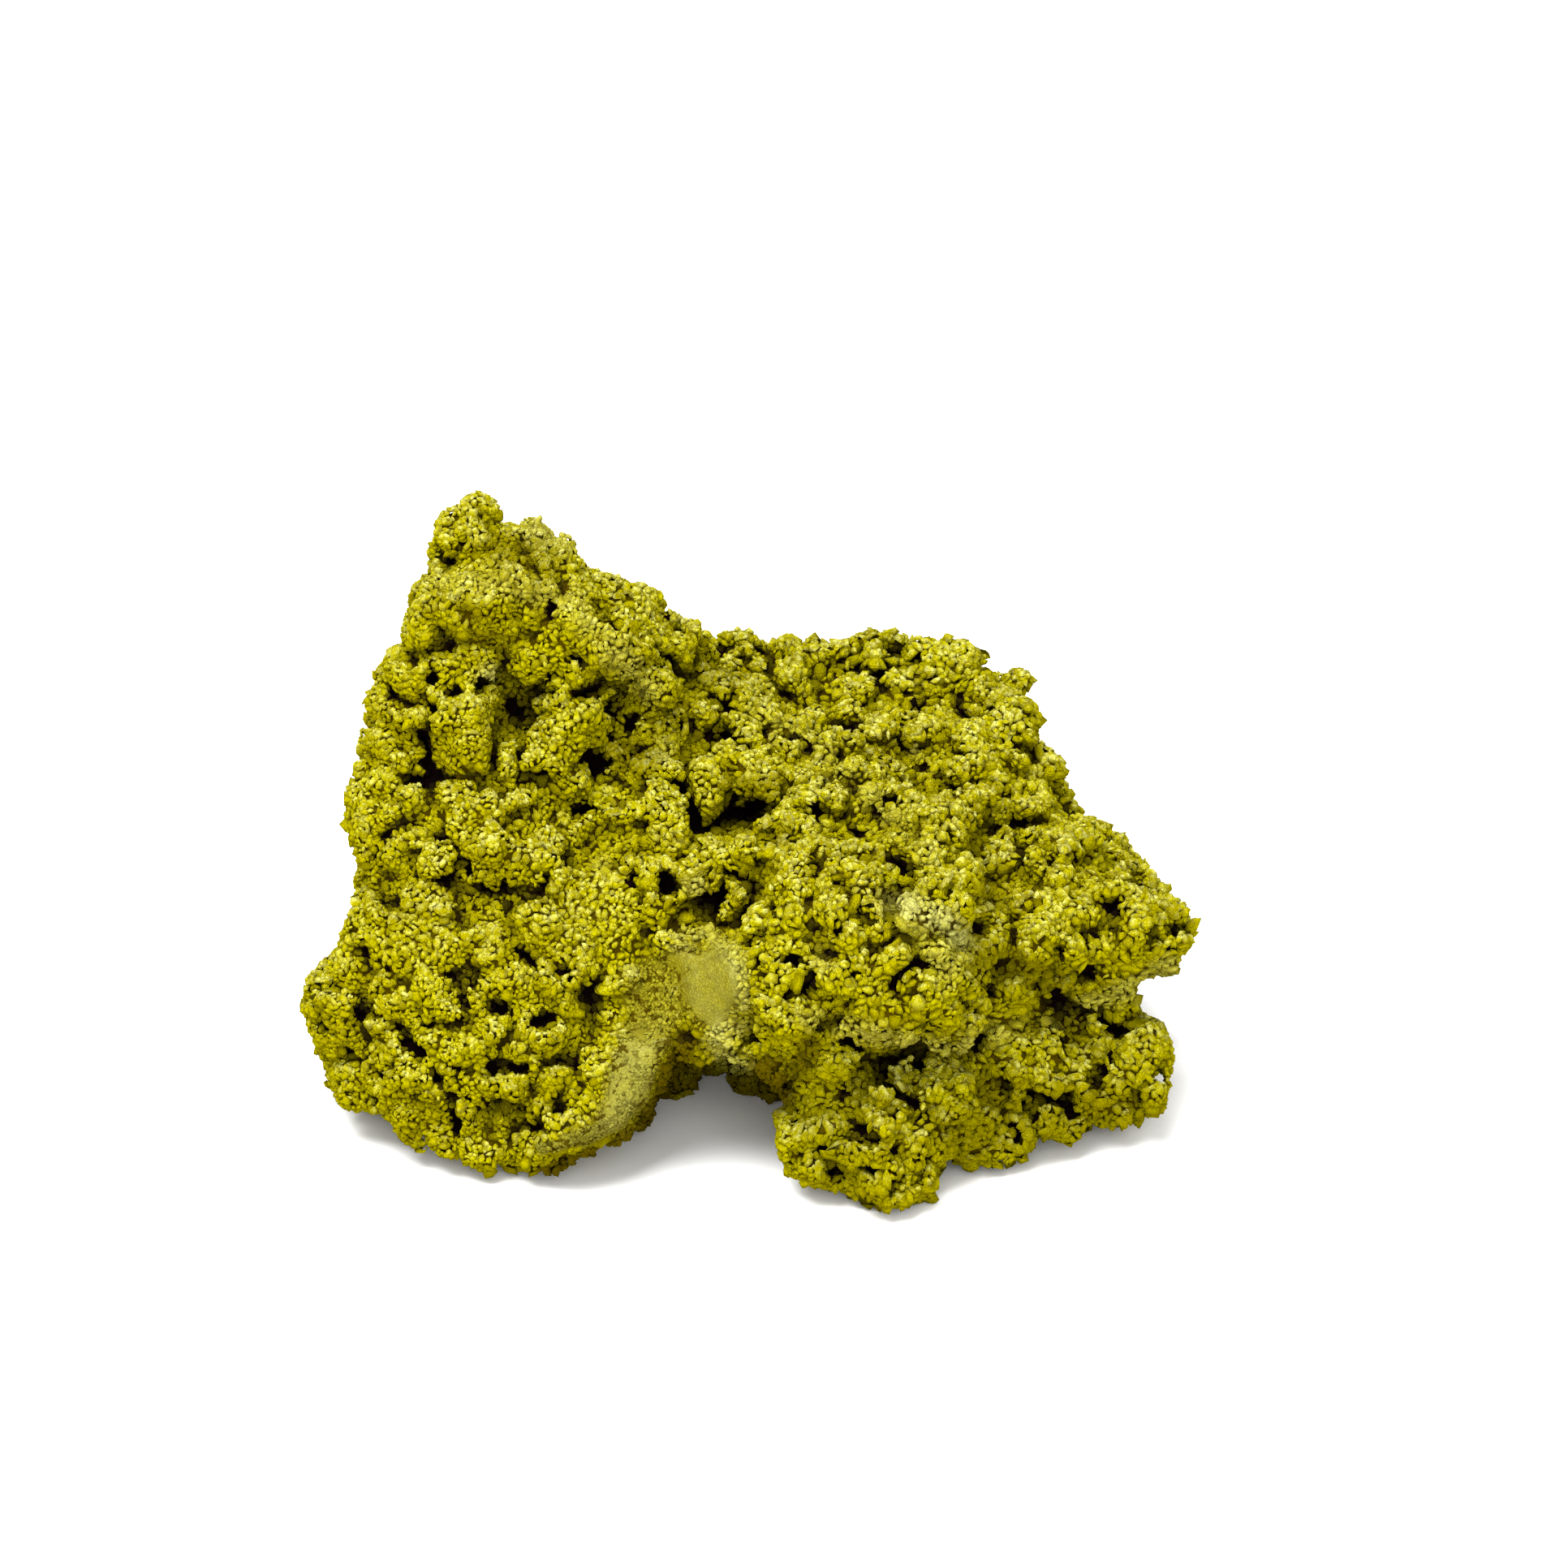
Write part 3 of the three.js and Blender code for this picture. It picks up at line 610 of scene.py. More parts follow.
@dataclass
class Front:
    """The marks on the specimen's front: closed faces, worn places, pale crests and painted shade in
    hollows.

    Args:
        display: The plane in which they are placed.
        outer: The crust's outer surface as a distance field.
        fray: Noise that makes their edges ragged.
        back: Depth behind the display plane at which the marks end.
        bluff_edge: Where a closed face ends and where it is full, as shares of its size.
        wear_full: Where the wear is full, as a share of the rubbed places' size.
        flank_edge: Where the wear starts and is full, by the distance from the flank's edge.
        pitted_edge: Where the pitted ground ends and where it is full.
        pitted_right: Where the pitted ground gives way to the smooth patch, across.
        unworn: How much less the pitted ground is worn.
        crest_edge, painted_shade_edge: Where the crests and the painted shade end and are full, as
            shares of their width.
        polish_edge: Where the smooth patch ends and where it is bare, as shares of its size.
        wear_fray, flank_fray, pitted_fray, crest_fray, painted_shade_fray, polish_fray: How ragged each
            of these edges is.
        sight: The depths between which the line of sight is followed, and the step.
    """

    display: Display
    outer: Grid
    fray: Grid
    back: float = 15.0
    bluff_edge: Pair = (1.3, 0.6)
    wear_full: float = 0.8
    flank_edge: Pair = (1.2, 1.8)
    pitted_edge: Pair = (1.5, 1.1)
    pitted_right: Pair = (-6.4, -7.0)
    unworn: float = 0.45
    crest_edge: Pair = (1.5, 0.2)
    painted_shade_edge: Pair = (1.4, 0.5)
    polish_edge: Pair = (1.08, 0.92)
    wear_fray: float = 0.25
    flank_fray: float = 0.4
    pitted_fray: float = 0.15
    crest_fray: float = 0.6
    painted_shade_fray: float = 0.3
    polish_fray: float = 0.1
    sight: tuple[float, float, float] = (-60, 60, 0.25)

    def dense(self, points: Array) -> Array:
        """Work out how closed the crust is.

        Args:
            points: The places.

        Returns:
            A share for each place: 1 on the bluff faces, 0 where pores are free to open.
        """
        across, rise, depth = self.display.flatten(points)
        most = np.zeros(points.shape[:-1], np.float32)
        for (x, y), size in DENSE:
            near = np.hypot(across - x, rise - y) / size
            most = np.maximum(most, ramp(near, *self.bluff_edge))
        return most * (depth < self.back)

    def wear(self, points: Array, reach: float = WORN_REACH) -> Array:
        """Work out the rubbed patch, the pitted ground at its left and the strips below it.

        Args:
            points: The places.
            reach: Where the wear ends, as a share of the rubbed places' size.

        Returns:
            How worn each place is, from 0 to 1.
        """
        across, rise, depth = self.display.flatten(points)
        fray = self.fray.sample(points)
        pitted = PITTED.reach(across, rise)
        near = np.minimum(PATCH.reach(across, rise), pitted)
        for chain, width in RUBBED:
            near = np.minimum(near, chain_distance(across, rise, chain) / width)
        worn = ramp(near + self.wear_fray * fray, reach, self.wear_full) * (depth < 0)
        flank = chain_distance(across, rise, FLANK) + self.flank_fray * fray
        worn = worn * ramp(flank, *self.flank_edge)
        left = ramp(across, *self.pitted_right)
        inner = ramp(pitted + self.pitted_fray * fray, *self.pitted_edge)
        return worn * (1 - self.unworn * inner * left)

    def marked(
        self, points: Array, marks: tuple, fray: float, edge: Pair
    ) -> Array:
        """Work out how strongly a set of marks shows.

        Args:
            points: The places.
            marks: Chains of places, each with its width and strength.
            fray: How ragged their edges are.
            edge: Where a mark ends and where it is full, as shares of its width.

        Returns:
            The strongest mark at each place, from 0 to 1.
        """
        across, rise, depth = self.display.flatten(points)
        ragged = fray * self.fray.sample(points)
        most = np.zeros(across.shape)
        for chain, width, strength in marks:
            near = chain_distance(across, rise, chain) / width
            most = np.maximum(most, strength * ramp(near + ragged, *edge))
        return most * (depth < self.back)

    def rub(self, points: Array) -> Array:
        """Return how pale and blunt each place is, along the crests that stand out."""
        return self.marked(points, CRESTS, self.crest_fray, self.crest_edge)

    def painted_shade(self, points: Array) -> Array:
        """Return how strong the painted shade is at each place, along the chains of DARKENED."""
        return self.marked(points, DARKENED, self.painted_shade_fray, self.painted_shade_edge)

    def polish(self, points: Array) -> Array:
        """Work out where the smooth rubbed patch is, on which no grain is left.

        Args:
            points: The places.

        Returns:
            1 for each place on the patch and 0 away from it.
        """
        across, rise, depth = self.display.flatten(points)
        patch = np.minimum(*(oval.reach(across, rise) for oval in POLISHED))
        ragged = self.polish_fray * self.fray.sample(points)
        return ramp(patch + ragged, *self.polish_edge) * (depth < 0)

    def meet(self, across: float, rise: float) -> Array:
        """Follow the line of sight at a place.

        Args:
            across, rise: The place.

        Returns:
            The point of the part's frame at which the line meets the crust, or not a number
            where it misses.
        """
        depths = np.arange(*self.sight)
        line = self.display.place(across, rise) + depths[:, None] * self.display.axes()[2]
        inside = self.outer.sample(line) < 0
        depth = float(depths[np.argmax(inside)]) if inside.any() else math.nan
        return self.display.place(across, rise, depth)


@dataclass(frozen=True)
class Growth:
    """One generation of round lobes, grown all over the surface below it.

    Args:
        spacing: Least distance between lobes at the left and at the right end.
        fatness: A lobe's radius as a share of that distance.
        rise: How far the lowest and the highest lobes stand out of the surface below.
        missing: Share of lobes left out at the left and at the right end, which opens pores.
        hollow: How crowded a place may be before no lobe grows there.
        tries: Number of places tried.
    """

    spacing: Pair
    fatness: float
    rise: Pair
    missing: Pair
    hollow: float
    tries: int


@dataclass
class Bed:
    """The bed under the grains: lobes on lobes, with open pores between them, and worn places.

    Args:
        form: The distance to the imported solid's surface.
        display: The plane in which the front's features are placed.
        cell: Distance between samples of the bed's field.
        mesh_cell: Distance between samples of the coarser field that makes the visible bed.
        smoothing: Passes that round off the solid's facets.
        fuller: How far the field is moved out, to make up for its rounding.
        core_depth: How far under the solid's surface the pores end.
        room: Depth kept free for the grains under the solid's surface.
        worn_room: Share of that depth which worn ground takes up.
        growths: The generations of lobes, from the large clumps to the small ones on them.
        growth_ends: Where the left end's lobes give way to the right end's, along X.
        radii: The least and the greatest share of a lobe's usual radius.
        lobe_reach: How far round a lobe its field is worked out.
        lobe_ahead: How far above the ground the crowding is read, before a lobe grows there.
        far_off: The field where there is no lobe near.
        bend: How far a lobe's outline is bent, and the size of the bends.
        fray_size: Size of the bays in the edges of the worn and coloured places.
        voids: Share of the surface that opens into ragged voids, at the left and the right end.
        void_ends: Where the left end's voids give way to the right end's, along X.
        void_sizes: Sizes of the voids and of the bays in their outlines.
        void_bays: How deep those bays are.
        void_shy: How much rarer the voids are on the closed faces.
        void_steep: How steeply a void's walls go down.
        void_lid: How far under the surface a void begins.
        overhang: How far the last lobes may grow into a pore.
        pit_steps: How many round holes make one straight part of a pit.
        pit_reach: How far round a pit its field is worked out, as a share of its radius.
        rim: How far the ground may close over a pit's edge at the end.
        closed: Depth of the ground on the bluff faces, and how much deeper it may be elsewhere.
        flush: Depth of the ground on the worn places, and how much deeper it may be elsewhere.
        flush_reach: How far out the ground is flush, as a share of the worn places' own size.
        backing: How far the visible bed lies behind the surface on which the grains sit.
        worn_middle: The middle of the worn places, across and rise.
        worn_reach: Half the side of the block that holds them all.
        near, far: Passes that spread the crowding round a place, in its clump and far round it.
        above, crease_above, shelter_above: How far above a place its crowding, its creases and
            its shelter are read.
        rng: Source of random numbers.
        outer: The crust's outer surface as a distance field.
        front: The marks on the front.
        surface: The ground on which the grains sit.
        visible: The bed that shows between them.
        crease, crowding, shelter: The share of solid ground close by, in the clump and far round.
    """

    form: Grid
    display: Display
    cell: float = 0.5
    mesh_cell: float = 1.1
    smoothing: int = 4
    fuller: float = 0.6
    core_depth: float = 4.0
    room: float = 0.4
    worn_room: float = 0.5
    growths: tuple[Growth, ...] = (
        Growth((3.8, 5.0), 0.61, (-1.4, -0.5), (0.0, 0.0), 1.0, 30000),
        Growth((2.0, 2.7), 0.6, (-0.5, 0.7), (0.2, 0.16), 0.47, 80000),
        Growth((1.2, 1.5), 0.6, (-0.1, 0.75), (0.3, 0.28), 0.53, 160000),
    )
    growth_ends: Pair = (-35, 35)
    radii: Pair = (0.8, 1.2)
    lobe_reach: float = 2.2
    lobe_ahead: float = 0.6
    far_off: float = 9.0
    bend: Pair = (1.5, 2.4)
    fray_size: float = 1.3
    voids: Pair = (0.15, 0.26)
    void_ends: Pair = (-30, 15)
    void_sizes: Pair = (2.3, 1.2)
    void_bays: float = 0.45
    void_shy: float = 0.2
    void_steep: float = 3.0
    void_lid: float = 0.3
    overhang: float = 0.45
    pit_steps: int = 5
    pit_reach: float = 3.0
    rim: float = 0.5
    closed: Pair = (1.4, 3.0)
    flush: Pair = (0.25, 2.6)
    flush_reach: float = 2.2
    backing: float = 0.22
    worn_middle: Place = (-11.0, -20.0)
    worn_reach: float = 24.0
    near: int = 3
    far: int = 22
    above: float = 0.5
    crease_above: float = 0.3
    shelter_above: float = 1.0
    rng: np.random.Generator = field(default_factory=lambda: np.random.default_rng(SEED))
    outer: Grid = field(init=False)
    front: Front = field(init=False)
    surface: Surface = field(init=False)
    visible: Surface = field(init=False)
    crease: Grid = field(init=False)
    crowding: Grid = field(init=False)
    shelter: Grid = field(init=False)

    def build(self) -> None:
        """Make the bed's surface for the grains, the visible bed and its crowding."""
        self.outer = self.outer_field()
        points = self.outer.points()
        far, size = self.bend
        bent = points + np.stack([far * self.outer.noise(size, self.rng) for _ in range(3)], -1)
        fray = self.outer.like(self.outer.noise(self.fray_size, self.rng))
        self.front = Front(self.display, self.outer, fray)
        pores = self.pit_field(bent)
        worn = self.wear_field(points)
        values = self.worn_down(self.lobes(bent, pores), points, pores, worn)
        solid = values < 0
        self.surface = surface_net(self.outer.like(values))
        self.crease = self.outer.like(solid.astype(np.float32)).smoothed(self.near)
        self.crowding = self.crowd(solid, self.near)
        self.shelter = self.crowd(solid, self.far)
        self.visible = self.visible_bed(values + self.backing * (1 - worn))

    def outer_field(self) -> Grid:
        """Refine the solid's field, round off its facets and correct its outline.

        Returns:
            The distance to the crust's outer surface, negative inside.
        """
        shape = np.ceil(np.array(self.form.values.shape) * self.form.cell / self.cell).astype(int)
        outer = self.form.resampled(self.form.low, self.cell, tuple(shape)).smoothed(self.smoothing)
        outer.values -= self.fuller + self.swell(outer.points())
        return outer

    def lobes(self, bent: Array, pores: Array) -> Array:
        """Grow every generation of lobes and leave the pits and voids open.

        Args:
            bent: Places of the samples, bent a little so that no lobe is a true ball.
            pores: The field of pits, positive in them.

        Returns:
            The lobes' field, negative inside.
        """
        skin = surface_net(self.outer)
        core = self.outer.values + self.core_depth
        voids = np.minimum(self.sponge(skin), -self.outer.values - self.void_lid)
        holes = np.maximum(pores, voids)
        grown = core
        crowd = self.outer.like(0 * core)
        for growth in self.growths:
            over = self.overhang * (growth is self.growths[-1])
            grown = np.minimum(grown, self.grow(skin, bent, growth, crowd))
            grown = np.minimum(np.maximum(grown, holes - over), core)
            grown = np.maximum(grown, pores - over)
            skin = surface_net(self.outer.like(grown))
            crowd = self.crowd(grown < 0, self.near)
        return grown

    def worn_down(self, grown: Array, points: Array, pores: Array, worn: Array) -> Array:
        """Close the ground on the bluff faces, level the worn places and cut the lobes to size.

        Args:
            grown: The lobes' field.
            points: Places of the samples.
            pores: The field of pits.
            worn: How worn each sample is.

        Returns:
            The bed's field, negative inside.
        """
        depth, more = self.closed
        outer = self.outer.values
        grown = np.minimum(grown, outer + depth + more * (1 - self.front.dense(points)))
        depth, more = self.flush
        level = 1 - self.wear_field(points, self.flush_reach)
        values = np.minimum(grown, outer + depth + more * level)
        values = np.maximum(values, outer + self.room - self.worn_room * self.room * worn)
        values = np.maximum(values, pores - self.rim)
        values = np.maximum(values, self.room - points[..., 2]).astype(np.float32)
        return self.rooted(values)

    def rooted(self, values: Array, steps: int = 60) -> Array:
        """Drop the crumbs that hang loose: only ground that is joined to the core is kept.

        Args:
            values: The bed's field, negative inside.
            steps: How many samples away from the core the ground is followed.

        Returns:
            The field without them.
        """
        solid = values < 0
        joined = solid & (self.outer.values < -self.core_depth)
        for _ in range(steps):
            wide = joined.copy()
            for axis in range(3):
                wide |= np.roll(joined, 1, axis) | np.roll(joined, -1, axis)
            joined = wide & solid
        return np.where(solid & ~joined, np.float32(self.room), values)

    def swell(self, points: Array) -> Array:
        """Work out where the outline stands out or falls back, by OUTLINE.

        Args:
            points: The places.

        Returns:
            How far each place stands out.
        """
        across, rise, _ = (part.astype(np.float32) for part in self.display.flatten(points))
        total = np.zeros(points.shape[:-1], np.float32)
        for (x, y), reach, amount in OUTLINE:
            square = (across - x) ** 2 + (rise - y) ** 2
            total += amount * np.exp(-square / (2 * reach**2))
        return total

    def crowd(self, solid: Array, passes: int) -> Grid:
        """Return the share of solid ground round each place, on a grid half as fine."""
        half = tuple(n // 2 for n in solid.shape)
        grid = self.outer.like(solid.astype(np.float32))
        return grid.resampled(grid.low, 2 * self.cell, half).smoothed(passes)

    def sponge(self, skin: Surface) -> Array:
        """Make the ragged voids between the clumps.

        Args:
            skin: The surface in which they open.

        Returns:
            A field that is positive in them.
        """
        wide, narrow = (self.outer.noise(size, self.rng) for size in self.void_sizes)
        mixed = self.outer.like(wide + self.void_bays * narrow)
        ends = [np.quantile(mixed.sample(skin.points), 1 - share) for share in self.voids]
        points = self.outer.points()
        level = between(ends, ramp(points[..., 0], *self.void_ends))
        shy = self.void_shy * self.front.dense(points)
        return (mixed.values - level - shy) * self.void_steep

    def visible_bed(self, values: Array) -> Surface:
        """Return the coarser mesh that shows between the grains, made from the fine field."""
        shape = np.ceil(np.array(values.shape) * self.cell / self.mesh_cell).astype(int)
        fine = self.outer.like(values)
        return surface_net(fine.resampled(fine.low, self.mesh_cell, tuple(shape)))

    def wear_field(self, points: Array, reach: float = WORN_REACH) -> Array:
        """Work out the wear of the samples in the block round the worn places, and none elsewhere.

        Args:
            points: Places of the samples.
            reach: Where the wear ends, as a share of the rubbed places' own size.

        Returns:
            How worn each sample is, from 0 to 1.
        """
        block = self.box(self.front.meet(*self.worn_middle), self.worn_reach)
        worn = np.zeros(points.shape[:-1], np.float32)
        worn[block] = self.front.wear(points[block], reach)
        return worn

    def looks(self, points: Array, normals: Array) -> dict[str, Array]:
        """Gather what the finish needs to know of each place on the crust.

        Args:
            points: The places.
            normals: The directions that they face.

        Returns:
            How crowded, creased, deep, sheltered, upright and rubbed each place is, and how strong its
            painted shade is.
        """
        return {
            "crowd": self.crowding.sample(points + self.above * normals),
            "crease": self.crease.sample(points + self.crease_above * normals),
            "depth": -self.outer.sample(points),
            "shelter": self.shelter.sample(points + self.shelter_above * normals),
            # The ground's upward slope, for the painted highlight.
            "face": normals[:, 2],
            "rub": self.front.rub(points),
            # Painted shade along the DARKENED chains.
            "painted_shade": self.front.painted_shade(points),
        }

    def pit_field(self, points: Array) -> Array:
        """Cut every pit.

        Args:
            points: Places of the samples.

        Returns:
            A field that is positive in the pits and negative away from them.
        """
        depth_axis = self.display.axes()[2]
        result = np.full(points.shape[:-1], -np.inf, np.float32)
        for pit in PITS:
            places = np.array([self.front.meet(*place) for place in pit.line])
            for start, stop in zip(places, np.roll(places, -1, 0), strict=True):
                for share in np.linspace(0, 1, self.pit_steps if len(places) > 1 else 1):
                    middle = start + share * (stop - start)
                    self.carve(result, points, middle, depth_axis, pit)
                if len(places) < 3:
                    break
        return result

    def carve(self, result: Array, points: Array, start: Array, axis: Array, pit: Pit) -> None:
        """Add one round pore, cut along the line of sight, to the field of pits.

        Args:
            result: The field so far, which is changed.
            points: Places of the samples.
            start: Where the pore opens.
            axis: The direction in which it goes.
            pit: Its radius and depth.
        """
        block = self.box(start, pit.depth + self.pit_reach * pit.radius)
        away = points[block] - start
        along = np.clip(away @ axis, -pit.depth, pit.depth)
        gap = pit.radius - np.linalg.norm(away - along[..., None] * axis, axis=-1)
        result[block] = np.maximum(result[block], gap)

    def grow(self, skin: Surface, points: Array, kind: Growth, crowd: Grid) -> Array:
        """Grow one generation of lobes.

        Args:
            skin: The surface below them.
            points: Places of the samples, already bent.
            kind: Their sizes.
            crowd: How much of the ground round each place is solid.

        Returns:
            The distance to the nearest lobe.
        """
        found, normals = skin.scatter(kind.tries, self.rng)
        share = ramp(found[:, 0], *self.growth_ends)
        spacing = between(kind.spacing, share)
        kept = thin_out(found, spacing, self.rng)
        kept = kept[self.rng.random(len(kept)) > between(kind.missing, share[kept])]
        ahead = found[kept] + self.lobe_ahead * normals[kept]
        kept = kept[crowd.sample(ahead) < kind.hollow]
        radii = kind.fatness * spacing[kept] * self.rng.uniform(*self.radii, len(kept))
        rise = self.rng.uniform(*kind.rise, len(kept))
        centres = found[kept] + normals[kept] * (rise - radii)[:, None]
        LOG.info("lobes: %d", len(kept))
        result = np.full(points.shape[:-1], self.far_off, np.float32)
        for centre, radius in zip(centres, radii, strict=True):
            block = self.box(centre, radius + self.lobe_reach)
            away = np.linalg.norm(points[block] - centre, axis=-1) - radius
            result[block] = np.minimum(result[block], away)
        return result

    def box(self, centre: Array, reach: float) -> tuple[slice, ...]:
        """Return the block of samples within reach of a place."""
        low = np.clip(((centre - reach - self.outer.low) / self.cell).astype(int), 0, None)
        high = np.clip(((centre + reach - self.outer.low) / self.cell).astype(int) + 2, 0, None)
        return tuple(slice(a, b) for a, b in zip(low, high, strict=True))


@dataclass
class Grains:
    """The round grains of clay that cover the bed.

    Args:
        bed: What they sit on.
        candidates: Number of places tried.
        spacing: Least distance between grains at the left and at the right end.
        spacing_ends: Where the left end's spacing gives way to the right end's, along X.
        spread: How much single grains differ from that distance, and the least and the most.
        fine: The same distance on rubbed ground.
        under: The same on the underside.
        under_facing, under_height: Slopes and heights over which the underside begins.
        deepest: Depth and crowding past which a pore is too dark to need grains.
        bald: Wear and unevenness past which no grain is left.
        bare: How much of the smooth patch's edge has no grain left.
        blunt: How worn the pale crests are.
        fatness: A grain's radius as a share of its spacing.
        radii: The least and the greatest share of that radius.
        heights: A grain's height as a share of its radius.
        flatter: How much lower a worn grain is.
        stretch: How far a grain may be drawn out to one side.
        lean: How far a grain's tip leans over.
        jitter: How uneven a grain's corners are.
        sunk: How far a grain may sink into the bed, as a share of its radius.
        held_up: How much less a worn grain sinks.
        gap_sizes: Spacing at which the painted shade in the gap round a grain starts, and is full.
        sides: Corners in each of a grain's two rings.
        ring_angles: How far each ring lies from the grain's tip.
        ring_rims: How near the grain's rim each ring counts.
        ring_reach: How far each ring reaches in the grain's square of the texture.
        pieces: Number of meshes that hold the grains.
        rng: Source of random numbers.
    """

    bed: Bed
    candidates: int = 750000
    spacing: Pair = (0.44, 0.56)
    spacing_ends: Pair = (-32, 22)
    spread: tuple[float, float, float] = (0.28, 0.65, 1.9)
    fine: float = 0.33
    under: float = 1.2
    under_facing: Pair = (0.6, 0.9)
    under_height: Pair = (3, 1)
    deepest: Pair = (2.8, 0.6)
    bald: Pair = (0.93, -0.05)
    bare: float = 0.5
    blunt: float = 0.3
    fatness: float = 0.88
    radii: Pair = (0.85, 1.15)
    heights: Pair = (0.5, 1.15)
    flatter: float = 0.4
    stretch: float = 0.35
    lean: float = 0.3
    jitter: float = 0.25
    sunk: float = 0.4
    held_up: float = 0.5
    gap_sizes: Pair = (0.1, 0.62)
    sides: int = 5
    ring_angles: Pair = (math.radians(48), math.radians(104))
    ring_rims: Pair = (0.45, 1.0)
    ring_reach: Pair = (0.22, 0.42)
    pieces: int = 5
    rng: np.random.Generator = field(default_factory=lambda: np.random.default_rng(SEED + 1))

    def build(self) -> list[bpy.types.Object]:
        """Place the grains.

        Returns:
            The meshes that hold them, from left to right.
        """
        bed, front = self.bed, self.bed.front
        points, normals = bed.surface.scatter(self.candidates, self.rng)
        wear = front.wear(points)
        worn = np.maximum(wear, self.blunt * front.rub(points))
        deep, crowded = self.deepest
        hidden = -bed.outer.sample(points) > deep
        hidden &= bed.crowding.sample(points + bed.above * normals) > crowded
        rubbed, uneven = self.bald
        smooth = (wear > rubbed) & (front.fray.sample(points) > uneven)
        covered = ~((front.polish(points) > self.bare) | hidden | smooth)
        points, normals, worn = points[covered], normals[covered], worn[covered]
        spacing = self.spaces(points, normals, worn)
        kept = thin_out(points, spacing, self.rng)
        LOG.info("grains: %d", len(kept))
        points, normals, worn, spacing = points[kept], normals[kept], worn[kept], spacing[kept]
        order = np.argsort(points[:, 0], kind="stable")
        return [
            self.piece(f"grains_{n}", points[at], normals[at], worn[at], spacing[at])
            for n, at in enumerate(np.array_split(order, self.pieces), 1)
        ]

    def spaces(self, points: Array, normals: Array, worn: Array) -> Array:
        """Work out how far apart the grains stand.

        Args:
            points: Where grains may sit.
            normals: The directions that the places face.
            worn: How worn each place is.

        Returns:
            The free distance that a grain at each point needs.
        """
        spread, least, most = self.spread
        usual = between(self.spacing, ramp(points[:, 0], *self.spacing_ends))
        usual = usual * np.exp(self.rng.normal(0, spread, len(points))).clip(least, most)
        usual = usual + worn * (self.fine - usual)
        below = ramp(-normals[:, 2], *self.under_facing)
        below = below * ramp(points[:, 2], *self.under_height)
        return usual + below * (self.under - usual)

    def piece(
        self, name: str, points: Array, normals: Array, worn: Array, spacing: Array
    ) -> bpy.types.Object:
        """Make one mesh of grains.

        Args:
            name: The mesh's name.
            points: Where the grains sit.
            normals: The directions in which they stick out.
            worn: How worn each one is.
            spacing: Free distance round each one.

        Returns:
            The object.
        """
        count = len(points)
        draw = self.rng
        radius = self.fatness * spacing * draw.uniform(*self.radii, count)
        height = radius * draw.uniform(*self.heights, count) * (1 - self.flatter * worn)
        aside = unit(np.cross(normals, unit(draw.normal(size=(count, 3)))))
        ahead = np.cross(normals, aside)
        stretch = np.exp(draw.uniform(-self.stretch, self.stretch, count))
        up = unit(normals + draw.normal(size=(count, 3)) * self.lean)
        corners, triangles, rim = self.dome()
        shape = corners[None] * (1 + draw.normal(size=(count, len(corners), 1)) * self.jitter)
        grain = (
            aside[:, None] * (shape[..., :1] * (radius * stretch)[:, None, None])
            + ahead[:, None] * (shape[..., 1:2] * (radius / stretch)[:, None, None])
            + up[:, None] * (shape[..., 2:] * height[:, None, None])
        )
        sunk = radius * draw.uniform(0, self.sunk, count) * (1 - self.held_up * worn)
        places = points[:, None] + grain - (normals * sunk[:, None])[:, None]
        places[..., 2] = np.maximum(places[..., 2], 0)
        numbers = triangles[None] + (np.arange(count) * len(corners))[:, None, None]
        each = {"tint": draw.random(count), "wear": worn, **self.bed.looks(points, normals)}
        data = {key: np.repeat(value, len(corners)) for key, value in each.items()}
        # The rim number sets the painted shade in the gap round each grain.
        data["rim"] = np.outer(ramp(spacing, *self.gap_sizes), rim).ravel()
        surface = Surface(places.reshape(-1, 3), numbers.reshape(-1, 3))
        return make_piece(name, surface, data, self.unwrap(count, corners))

    def dome(self) -> tuple[Array, Array, Array]:
        """Make one grain: a tip, two rings and the faces between them.

        Returns:
            Its corners, its triangles and how near the rim each corner is.
        """
        turn = math.tau / self.sides
        corners, rim = [(0.0, 0.0, 1.0)], [0.0]
        for ring, angle in enumerate(self.ring_angles):
            for k in range(self.sides):
                way = turn * (k + ring / 2)
                side = math.sin(angle)
                corners.append((side * math.cos(way), side * math.sin(way), math.cos(angle)))
                rim.append(self.ring_rims[ring])
        triangles = []
        for k in range(self.sides):
            a, b = 1 + k, 1 + (k + 1) % self.sides
            c, d = a + self.sides, b + self.sides
            triangles += [(0, a, b), (a, c, b), (b, c, d)]
        return np.array(corners), np.array(triangles), np.array(rim)

    def unwrap(self, count: int, corners: Array) -> Array:
        """Give each grain a square of its own in the texture.

        Args:
            count: Number of grains.
            corners: A grain's corners.

        Returns:
            A place in the texture for each corner of each grain.
        """
        row = math.ceil(math.sqrt(count))
        number = np.arange(count)
        middle = np.stack([number % row + 0.5, number // row + 0.5], 1) / row
        inner, outer = self.ring_reach
        reach = np.where(np.arange(len(corners)) > self.sides, outer, inner)
        reach[0] = 0
        way = unit(corners[:, :2]) * reach[:, None] / row
        return (middle[:, None] + way[None]).reshape(-1, 2)


